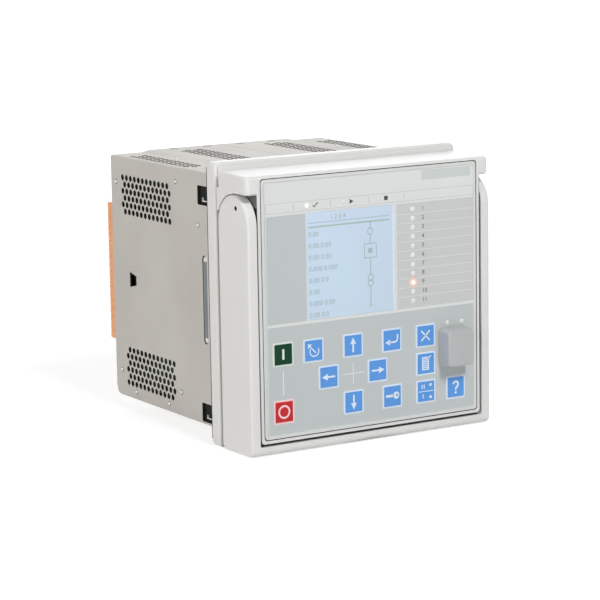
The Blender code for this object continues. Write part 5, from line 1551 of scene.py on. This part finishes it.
class KeyCap:
    """One key: a light edge, the coloured face inside it and its symbol."""

    EDGES = {"green_key": "key_edge_green", "red_key": "key_edge_red"}

    def __init__(self, relay: Relay, node: str) -> None:
        self._relay = relay
        self._node = node
        self._slot = Slot(relay.slots[node])
        self._low, self._high = relay.span(node)
        self._centre = (self._low + self._high) / 2
        self._edge = self.EDGES.get(self._slot.value, "key_edge")

    def build(self) -> None:
        """Makes the key."""
        low, high = self._low, self._high
        sketch = self._relay.sketch()
        sketch.prism([rounded(low.x, high.x, low.z, high.z, 1.0 * MM, 4)], "y", low.y + 0.08 * MM, high.y, self._edge, 0.2 * MM)
        inset = 0.3 * MM
        face = [rounded(low.x + inset, high.x - inset, low.z + inset, high.z - inset, 0.5 * MM, 3)]
        sketch.prism(face, "y", low.y + PRINT_RISE, low.y + 0.3 * MM, self._slot)
        for outlines in self._symbol():
            moved = [[(self._centre.x + a * MM, self._centre.z + b * MM) for a, b in outline] for outline in outlines]
            sketch.prism(moved, "y", low.y, low.y + 2 * PRINT_RISE, self._edge)
        sketch.finish(f"{self._node}_cap", self._node, self._slot, self._node, smooth=30)

    def _arrow(self, turns: int) -> list[list[Outline]]:
        """An arrow that points right, turned counterclockwise in quarters."""
        shape = [(-4.5, -0.6), (0.8, -0.6), (0.8, -2.1), (4.9, 0.0), (0.8, 2.1), (0.8, 0.6), (-4.5, 0.6)]
        turn = Matrix.Rotation(math.radians(90 * turns), 2)
        return [[[tuple(turn @ Vector(point)) for point in shape]]]

    def _symbol(self) -> list[list[Outline]]:
        """The key's symbol, in millimetres about its centre: shapes, each with its holes."""
        shapes = {
            "key_close": lambda: [[rounded(-0.75, 0.75, -3.2, 3.2, 0.15, 2)]],
            "key_open": lambda: [[circle(0, 0, 8.4, 36), circle(0, 0, 6.2, 36)]],
            "key_escape": self._escape,
            "key_left": lambda: self._arrow(2),
            "key_right": lambda: self._arrow(0),
            "key_up": lambda: self._arrow(1),
            "key_down": lambda: self._arrow(3),
            "key_enter": self._enter,
            "key_lock": self._key,
            "key_clear": lambda: [[stroke([(-3.2, -3.2), (3.2, 3.2)], 1.0)], [stroke([(-3.2, 3.2), (3.2, -3.2)], 1.0)]],
            "key_menu": self._document,
            "key_select": self._select,
            "key_help": self._question,
        }
        return shapes[self._node]()

    @staticmethod
    def _escape() -> list[list[Outline]]:
        """A ring with an arrow that leaves it."""
        ring = arc_points((0.5, -0.5), 3.2, -210, 30, 20)
        return [[stroke(ring, 0.75)], [stroke([(1.6, -1.6), (-2.6, 2.6)], 0.75)], [[(-4.2, 4.2), (-3.9, 1.2), (-1.2, 3.9)]]]

    @staticmethod
    def _enter() -> list[list[Outline]]:
        """The return arrow."""
        tail = [(-2.0, -1.4), (1.8, -1.4), *arc_points((1.8, 1.0), 2.4, -90, 0, 6), (4.2, 3.4)]
        return [[stroke(tail, 1.05)], [[(-5.0, -1.4), (-1.4, -3.3), (-1.4, 0.5)]]]

    @staticmethod
    def _key() -> list[list[Outline]]:
        """A door key."""
        bow = [circle(2.8, 0.3, 4.6, 24), circle(3.5, 0.3, 1.5, 16)]
        return [bow, [rounded(-5.0, 1.2, -0.6, 1.1, 0.6, 3)]]

    @staticmethod
    def _document() -> list[list[Outline]]:
        """A sheet with lines on it and a pencil beside its corner."""
        sheet = [(-2.8, -4.2), (2.4, -4.2), (2.4, 4.2), (-2.8, 4.2)]
        lines = [rounded(-2.0, 1.5, z - 0.25, z + 0.25, 0) for z in (2.8, 1.6, 0.4, -0.8, -2.0, -3.2)]
        return [[sheet, *lines], [stroke([(1.7, 3.0), (3.9, 4.6)], 0.8)]]

    @staticmethod
    def _select() -> list[list[Outline]]:
        """Two fields with a light beside each, for near and far."""
        shapes = [[rounded(-5.4, 5.4, -0.25, 0.25, 0)]]
        for side in (-1, 1):
            shapes.append([circle(3.4, 3.9 * side, 2.0, 20)])
        shapes.append([stroke([(-3.0, 1.8), (-3.0, 4.4)], 0.7)])
        shapes.append([stroke([(-1.4, 1.8), (-1.4, 4.4)], 0.7)])
        shapes.append([stroke([(-2.2, -4.4), (-2.2, -1.8)], 0.7)])
        return shapes

    @staticmethod
    def _question() -> list[list[Outline]]:
        """A question mark."""
        hook = [*arc_points((0, 1.7), 1.8, 172, -38, 14), (0.35, -0.5), (0.0, -1.3), (0.0, -1.9)]
        return [[stroke(hook, 1.35)], [circle(0, -3.5, 1.6, 16)]]


class RearPieces:
    """Everything on the case's rear: plugs, headers, jack, earth screw and the plates' screws."""

    STEP = Vector((10.5, 4.2)) * MM
    NECK = Vector((12.0, 5.25)) * MM
    POLES = (18, 14, 24, 24)
    PLATE_SCREWS = ((-73.5, 70), (-24.5, 71.5), (26, 71.5), (-73.5, -67.5), (-24.5, -69), (26, -69))
    COMMS_SCREWS = ((-15.5, 65.8), (15.5, 65.8), (-15.5, -65.8), (15.5, -65.8))

    def __init__(self, relay: Relay) -> None:
        self._relay = relay

    def build(self) -> None:
        """Makes the rear's pieces."""
        for number, poles in enumerate(self.POLES, 1):
            self._plug(f"terminal_plug_{number}", poles)
            self._header(f"terminal_header_{number}", poles)
        self._jack("rear_jack", Body.CASE, 1, 2.5 * MM)
        tongue = self._relay.span("port_cover")[1].y
        self._jack("front_jack", Body.UNIT, -1, tongue - self._relay.span("front_jack")[0].y + FIT)
        self._earth_screw()
        self._screws()

    def _plug(self, node: str, poles: int) -> None:
        """An orange plug: a block per pole with its wire entry and clamp, and a row of clamping screws.

        Args:
            node: The CAD node.
            poles: Its number of poles.
        """
        low, high = self._relay.span(node)
        step_x, step_y = low.x + self.STEP.x, high.y - self.STEP.y
        pitch = (high.z - low.z) / poles
        middles = [low.z + pitch * (k + 0.5) for k in range(poles)]
        entry_x, screw_x = (low.x + step_x) / 2, (step_x + high.x) / 2
        half = Vector((2.6 * MM, 0.27 * pitch))
        entries = [rounded(entry_x - half.x, entry_x + half.x, z - half.y, z + half.y, 0.3 * MM, 2) for z in middles]
        head = min(0.37 * pitch, 2.1 * MM)
        recesses = [circle(screw_x, z, 2 * head + 0.4 * MM, 20) for z in middles]
        sketch = self._relay.sketch()
        whole = rounded(low.x, high.x, low.z, high.z, 0.3 * MM, 2)
        floor = step_y - 3 * MM
        sketch.prism([whole], "y", low.y, floor + SEAT, Slot.ORANGE)
        sketch.prism([whole, *entries, *recesses], "y", floor, step_y, Slot.ORANGE)
        gap = 0.1 * MM
        towers = [rounded(low.x, step_x, z - pitch / 2 + gap, z + pitch / 2 - gap, 0.3 * MM, 2) for z in middles]
        sketch.prism([*towers, *entries], "y", step_y - SEAT, high.y, Slot.ORANGE, 0.1 * MM, 1)
        inner = half - Vector((0.5, 0.5)) * MM
        cages = [rounded(entry_x - w, entry_x + w, z - h, z + h, 0.1 * MM, 2)
                 for z in middles for w, h in ((half.x - 0.05 * MM, half.y - 0.05 * MM), tuple(inner))]
        sketch.prism(cages, "y", floor, floor + 1.6 * MM, Slot.STEEL)
        slot = 0.32 * MM
        halves = []
        for z in middles:
            for side in (-1, 1):
                arc = [p for p in arc_points((screw_x, z), head, 0, 180, 14) if p[1] - z > slot]
                halves.append(arc if side > 0 else [(p[0], 2 * z - p[1]) for p in arc])
        sketch.prism([circle(screw_x, z, 2 * head, 20) for z in middles], "y", floor, step_y - 1.4 * MM, Slot.STEEL)
        sketch.prism(halves, "y", step_y - 1.5 * MM, step_y - 0.7 * MM, Slot.STEEL, 0.08 * MM, 1)
        # Black patches on the plug's side for its test openings: painted shade of the holes.
        tests = [rounded(low.y + 1.0 * MM, low.y + 3.4 * MM, z - 0.9 * MM, z + 0.9 * MM, 0.3 * MM, 2) for z in middles]
        sketch.prism(tests, "x", low.x - 0.02 * MM, low.x + 0.3 * MM, "hole_shade_black")
        # Darker orange lines between the poles: painted shade of the grooves.
        groove_shades = [rounded(low.y + 1.2 * MM, step_y, z - 0.2 * MM, z + 0.2 * MM, 0) for z in middles[:-1]]
        groove_shades = [[(y, z + pitch / 2) for y, z in rib] for rib in groove_shades]
        sketch.prism(groove_shades, "x", high.x - 0.3 * MM, high.x + 0.03 * MM, "plug_groove_shade")
        sketch.finish(f"{node}_moulding", Body.CASE, Slot.ORANGE, node, smooth=30)

    def _header(self, node: str, poles: int) -> None:
        """A black header inside the rear plate, with its neck through the plate and its contact blades.

        Args:
            node: The CAD node.
            poles: Its number of contacts.
        """
        low, high = self._relay.span(node)
        x, pitch = (low.x + high.x) / 2, (high.z - low.z) / poles
        rear = high.y - 1.2 * MM - FIT
        sketch = self._relay.sketch()
        sketch.block(low, Vector((high.x, rear, high.z)), Slot.BLACK, 0.5 * MM)
        neck = rounded(x - self.NECK.x / 2, x + self.NECK.x / 2, low.z + pitch / 2, high.z - pitch / 2, 0.3 * MM, 2)
        sketch.prism([neck], "y", rear - 1 * MM, high.y, Slot.BLACK)
        blades = [rounded(x + s * 3 * MM - 1 * MM, x + s * 3 * MM + 1 * MM, z - 0.4 * MM, z + 0.4 * MM, 0)
                  for s in (-1, 1) for z in (low.z + pitch * (k + 0.5) for k in range(poles))]
        sketch.prism(blades, "y", low.y - 0.1 * MM, low.y + 1 * MM, "gold")
        sketch.finish(f"{node}_block", Body.CASE, Slot.BLACK, node, smooth=30)

    def _jack(self, node: str, body: Body, facing: int, contact_depth: float) -> None:
        """A shielded modular jack with eight contacts.

        Args:
            node: The CAD node.
            body: The body that it rides on.
            facing: 1 where its socket opens to the rear, -1 to the front.
            contact_depth: How far in its contacts start.
        """
        low, high = self._relay.span(node)
        x, z = (low.x + high.x) / 2, (low.z + high.z) / 2
        mouth = high.y if facing > 0 else low.y
        floor = mouth - facing * 9.5 * MM
        notch = [(-5.9, -4.1), (-3.2, -4.1), (-3.2, -5.3), (3.2, -5.3), (3.2, -4.1), (5.9, -4.1), (5.9, 4.1), (-5.9, 4.1)]
        socket = [(x + a * MM, z + b * MM) for a, b in notch]
        sketch = self._relay.sketch()
        sketch.prism([rounded(low.x, high.x, low.z, high.z, 0.6 * MM), socket], "y", *sorted((mouth, floor)), Slot.STEEL)
        inside = [rounded(low.x + 0.4 * MM, high.x - 0.4 * MM, low.z + 0.4 * MM, high.z - 0.4 * MM, 0.4 * MM)]
        sketch.prism(inside, "y", *sorted((floor, low.y if facing > 0 else high.y)), Slot.BLACK)
        start = mouth - facing * contact_depth
        if (start - floor) * facing > 0:
            bars = [rounded(x + (k - 3.5) * 1.02 * MM - 0.22 * MM, x + (k - 3.5) * 1.02 * MM + 0.22 * MM,
                            z + 3.0 * MM, z + 3.6 * MM, 0) for k in range(8)]
            sketch.prism(bars, "y", *sorted((start, floor)), "gold")
        for side in (-1, 1):
            near, far = mouth - facing * 2 * MM, mouth - facing * 6 * MM
            spring = [(near, z - 1.6 * MM), (far, z - 0.8 * MM), (far, z + 0.8 * MM), (near, z + 1.6 * MM)]
            at = x + side * (high.x - low.x) / 2
            sketch.prism([spring], "x", *sorted((at, at - side * 0.5 * MM)), "brass")
        sketch.finish(f"{node}_shield", body, Slot.STEEL, node, smooth=30)

    def _earth_screw(self) -> None:
        """The earth screw: a hexagon head with a slot on its washer."""
        low, high = self._relay.span("earth_screw")
        x, z = (low.x + high.x) / 2, (low.z + high.z) / 2
        head = high.y - 3.6 * MM
        sketch = self._relay.sketch()
        sketch.lathe([(0, low.y), (2.4 * MM, low.y), (2.4 * MM, head + 1 * MM), (0, head + 1 * MM)], Vector((x, 0, z)), "y", Slot.STEEL)
        washer = [circle(x, z, 9.4 * MM, 32)]
        sketch.prism(washer, "y", head + 0.05 * MM, head + 0.9 * MM, "brass", 0.2 * MM)
        corners = [(x + 4.0 * MM * math.cos(k * math.pi / 3), z + 4.0 * MM * math.sin(k * math.pi / 3)) for k in range(6)]
        sketch.prism([corners], "y", head + 0.8 * MM, high.y - 0.05 * MM, Slot.STEEL, 0.35 * MM)
        # Black bar for the screw's slot: painted shade of the slot.
        slot = [rounded(x - 2.9 * MM, x + 2.9 * MM, z - 0.4 * MM, z + 0.4 * MM, 0)]
        sketch.prism(slot, "y", high.y - 0.5 * MM, high.y, "hole_shade_black")
        sketch.finish("earth_bolt", Body.CASE, Slot.STEEL, "earth_screw", smooth=30)

    def _screws(self) -> None:
        """The screws of the rear plate and of the communication plate."""
        rear = self._relay.span("rear_plate")[1].y
        sketch = self._relay.sketch()
        for x, z in self.PLATE_SCREWS:
            sketch.screw(Vector((x * MM, rear, z * MM)), "y", 1, 2.6 * MM)
        low, high = self._relay.span("communication_plate")
        for x, z in self.COMMS_SCREWS:
            sketch.screw(Vector(((low.x + high.x) / 2 + x * MM, high.y, z * MM)), "y", 1, 2.2 * MM)
        sketch.finish("rear_screws", Body.CASE, Slot.STEEL, smooth=30)


class InnerPieces:
    """What is seen when the unit is drawn out: parts on the boards, relays, transformers and connectors."""

    BOARDS = {
        "input_output_board": (((16, 40), (16, -38)), ((40, 52), (40, -52)), ((30, 8), (52, 14), (52, -10))),
        "measuring_board": (((20, 36), (20, 0), (20, -36)), ((38, 58),), ((40, 14), (40, -14))),
        "processor_board": (((26, 30), (62, -26), (84, 30)), ((30, -52), (44, -52)), ((48, 4), (80, -4), (62, 50))),
        "power_supply_board": (((18, -44),), ((24, 40), (40, 40), (56, 40), (30, 18)), ((34, -14), (60, -44))),
    }
    POLES = (18, 14, 24, 24)

    def __init__(self, relay: Relay) -> None:
        self._relay = relay

    def build(self) -> None:
        """Makes the inner pieces."""
        for node in self.BOARDS:
            self._board_parts(node)
        for number, poles in enumerate(self.POLES, 1):
            self._connector(f"board_connector_{number}", poles)
        for node in ("output_relay_1", "output_relay_2"):
            self._output_relay(node)
        for node in ("measuring_transformer_1", "measuring_transformer_2", "supply_transformer_1"):
            self._transformer(node)

    def _board_parts(self, node: str) -> None:
        """Chips, capacitors and small parts on one board.

        Args:
            node: The board's CAD node.
        """
        low, high = self._relay.span(node)
        chips, cans, rows = self.BOARDS[node]
        face = high.x
        sketch = self._relay.sketch()
        for y, z in chips:
            at = Vector((low.y + y * MM, z * MM))
            pins = [rounded(at.x + k * 1.6 * MM - 0.3 * MM, at.x + k * 1.6 * MM + 0.3 * MM, at.y - 8.2 * MM, at.y + 8.2 * MM, 0)
                    for k in range(-4, 5)]
            sketch.prism(pins, "x", face, face + 0.9 * MM, Slot.STEEL)
            body = rounded(at.x - 7.6 * MM, at.x + 7.6 * MM, at.y - 6.9 * MM, at.y + 6.9 * MM, 0.6 * MM)
            sketch.prism([body], "x", face + 0.3 * MM, face + 2.8 * MM, "chip", 0.3 * MM)
        for y, z in cans:
            spot = Vector((0, low.y + y * MM, z * MM))
            profile = [(0, face), (4.4 * MM, face), (4.5 * MM, face + 0.4 * MM), (4.5 * MM, face + 10.2 * MM)]
            profile += [(4.1 * MM, face + 10.8 * MM), (3.5 * MM, face + 10.8 * MM), (0, face + 10.8 * MM)]
            sketch.lathe(profile, spot, "x", "chip", 24)
            lid = [(0, face + 10.6 * MM), (3.4 * MM, face + 10.6 * MM), (3.4 * MM, face + 10.95 * MM), (0, face + 10.95 * MM)]
            sketch.lathe(lid, spot, "x", Slot.STEEL, 24)
        for y, z in rows:
            at = Vector((low.y + y * MM, z * MM))
            small = [rounded(at.x + i * 4.2 * MM - 1.2 * MM, at.x + i * 4.2 * MM + 1.2 * MM,
                             at.y + j * 3.0 * MM - 0.8 * MM, at.y + j * 3.0 * MM + 0.8 * MM, 0.2 * MM, 1)
                     for i in range(-1, 2) for j in range(-1, 2)]
            sketch.prism(small, "x", face, face + 1.0 * MM, "part_tan", 0.1 * MM, 1)
        self._solder_side(sketch, low, high, [*chips, *cans, *rows])
        sketch.finish(f"{node}_parts", Body.UNIT, Slot.BOARD, smooth=30)

    @staticmethod
    def _solder_side(sketch: Sketch, low: Vector, high: Vector, places: list[Point]) -> None:
        """Solder joints and tracks on a board's other side, and its two mounting screws.

        Args:
            sketch: The piece to add them to.
            low: The board's lowest corner.
            high: Its highest corner.
            places: Where its parts are, in millimetres from its front edge and its middle.
        """
        back = low.x
        joints, tracks = [], []
        for k, (y, z) in enumerate(places):
            at = Vector((low.y + y * MM, z * MM))
            joints += [circle(at.x + i * 2.6 * MM, at.y + j * 5.4 * MM, 1.3 * MM, 8) for i in range(-2, 3) for j in (-1, 1)]
            other = places[(k + 1) % len(places)]
            end = Vector((low.y + other[0] * MM, other[1] * MM))
            for lane in (-1, 0, 1):
                shift = Vector((lane * 1.5 * MM, 7.5 * MM))
                start, stop = at + shift, end + shift
                turn = (start.x + stop.x) / 2 + lane * 1.5 * MM
                corners = [tuple(start), (turn, start.y), (turn, stop.y), tuple(stop)]
                for (ay, az), (by, bz) in zip(corners, corners[1:]):
                    width = (0.35 - 0.01 * k - (0.005 if az == bz else 0)) * MM
                    if max(abs(ay - by), abs(az - bz)) > 2 * width:
                        tracks.append(rounded(min(ay, by) - width, max(ay, by) + width, min(az, bz) - width, max(az, bz) + width, 0))
        last = high.y - 4 * MM
        joints += [circle(last - j * 2.5 * MM, z * 2.54 * MM, 1.2 * MM, 8) for j in (0, 1) for z in range(-18, 19)]
        sketch.prism(joints, "x", back - 0.25 * MM, back + SEAT, Slot.STEEL)
        for track in tracks:
            inside = [(min(max(y, low.y + 1 * MM), high.y - 1 * MM), z) for y, z in track]
            sketch.prism([inside], "x", back - 0.06 * MM, back + SEAT, "board_track")
        for z in (low.z + 6 * MM, high.z - 6 * MM):
            sketch.screw(Vector((back, low.y + 8 * MM, z)), "x", -1, 2.4 * MM)

    def _connector(self, node: str, poles: int) -> None:
        """A board connector with a gold contact in each of its slots.

        Args:
            node: The CAD node.
            poles: Its number of contacts in each row.
        """
        low, high = self._relay.span(node)
        x, pitch = (low.x + high.x) / 2, (high.z - low.z) / poles
        quarter = (high.x - low.x) / 4
        places = [(x + s * quarter, low.z + pitch * (k + 0.5)) for s in (-1, 1) for k in range(poles)]
        w, h = 0.55 * quarter, 0.28 * pitch
        slots = [rounded(a - w, a + w, b - h, b + h, 0) for a, b in places]
        outer = rounded(low.x, high.x, low.z, high.z, 0.4 * MM)
        floor = high.y - min(3 * MM, 0.5 * (high.y - low.y))
        sketch = self._relay.sketch()
        sketch.prism([outer], "y", low.y, floor + SEAT, Slot.BLACK)
        sketch.prism([outer, *slots], "y", floor, high.y, Slot.BLACK)
        contacts = [rounded(a - w, a - 0.3 * w, b - 0.7 * h, b + 0.7 * h, 0) for a, b in places]
        sketch.prism(contacts, "y", floor, high.y - 0.6 * MM, "gold")
        sketch.finish(f"{node}_block", Body.UNIT, Slot.BLACK, node, smooth=30)

    def _output_relay(self, node: str) -> None:
        """A small output relay: a white cover on its dark base.

        Args:
            node: The CAD node.
        """
        low, high = self._relay.span(node)
        sketch = self._relay.sketch()
        base = rounded(low.y + 0.3 * MM, high.y - 0.3 * MM, low.z + 0.3 * MM, high.z - 0.3 * MM, 0.4 * MM)
        sketch.prism([base], "x", low.x, low.x + 1.6 * MM, "chip")
        cover = rounded(low.y, high.y, low.z, high.z, 0.9 * MM)
        sketch.prism([cover], "x", low.x + 1.2 * MM, high.x, Slot.WHITE, 0.5 * MM)
        sketch.finish(f"{node}_cover", Body.UNIT, Slot.WHITE, node, smooth=30)

    def _transformer(self, node: str) -> None:
        """A transformer: a laminated frame round a bobbin that is wound with tape.

        Args:
            node: The CAD node.
        """
        low, high = self._relay.span(node)
        centre, half = (low + high) / 2, (high - low) / 2
        sketch = self._relay.sketch()
        frame = rounded(low.y, high.y, low.z, high.z, 0.4 * MM)
        windows = [rounded(centre.y + side * half.y * 0.50 - half.y * 0.22, centre.y + side * half.y * 0.50 + half.y * 0.22,
                           centre.z - half.z * 0.68, centre.z + half.z * 0.68, 0.3 * MM) for side in (-1, 1)]
        inset = 0.28 * half.x
        sheets = 6
        thick = (2 * half.x - 2 * inset) / sheets
        for k in range(sheets):
            start = low.x + inset + k * thick
            sketch.prism([frame, *windows], "x", start, start + 0.9 * thick, "lamination")
        coil = rounded(centre.y - half.y * 0.66, centre.y + half.y * 0.66, centre.z - half.z * 0.58, centre.z + half.z * 0.58, 2 * MM)
        sketch.prism([coil], "x", low.x + 0.6 * MM, high.x, Slot.TAPE, 1.4 * MM, 3)
        for side in (-1, 1):
            z = centre.z + side * half.z * 0.62
            cheek = rounded(centre.y - half.y * 0.7, centre.y + half.y * 0.7, z - 0.6 * MM, z + 0.6 * MM, 0.2 * MM)
            sketch.prism([cheek], "x", low.x, high.x - 0.4 * MM, Slot.BLACK)
        sketch.finish(f"{node}_winding", Body.UNIT, Slot.TAPE, node, smooth=30)


@dataclass
class Relay:
    """Builds the relay's detailed pieces over its CAD nodes.

    Attributes:
        nodes: CAD objects by name.
        record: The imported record.
        palette: The materials.
        origin: The middle of the flange's rear face.
    """

    nodes: dict[str, bpy.types.Object]
    record: dict
    palette: Palette
    origin: Vector = field(default_factory=Vector)

    def __post_init__(self) -> None:
        low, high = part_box("front_flange")
        self.origin = Vector(((low.x + high.x) / 2, high.y, (low.z + high.z) / 2))

    @property
    def slots(self) -> dict[str, str]:
        """The material slot of each CAD node."""
        return {subpart["node"]: subpart["material_slot"] for subpart in self.record["subparts"]}

    def sketch(self) -> Sketch:
        """An empty piece."""
        return Sketch(self.palette, self.origin)

    def status_x(self) -> tuple[float, float, float]:
        """The places across of the three status lights."""
        low, high = self.span("status_light_guide")
        first, last = low.x + 1.8 * MM, high.x - 1.8 * MM
        return first, first + 0.513 * (last - first), last

    def span(self, node: str) -> tuple[Vector, Vector]:
        """A CAD node's corners, about the flange.

        Args:
            node: The node's name.

        Returns:
            Its lowest and its highest corner.
        """
        low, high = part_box(node)
        return low - self.origin, high - self.origin

    def dress(self) -> None:
        """Gives every CAD node its procedural material."""
        for node, slot in self.slots.items():
            obj = self.nodes[node]
            obj.data.materials.clear()
            obj.data.materials.append(self.palette[slot])

    def build(self) -> None:
        """Makes every detailed piece."""
        self.dress()
        CasePieces(self).build()
        FrontPieces(self).build()
        PanelPieces(self).build()
        RearPieces(self).build()
        InnerPieces(self).build()


def main() -> None:
    """Builds the scene."""
    logging.basicConfig(level=logging.INFO)
    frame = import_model()
    cad_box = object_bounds()
    relay = Relay(frame["nodes"], frame["record"], Palette())
    relay.build()
    size = Vector(cad_box[1]) - Vector(cad_box[0])
    Studio(relay.origin, size).build()
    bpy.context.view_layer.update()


if __name__ == "__main__":
    main()
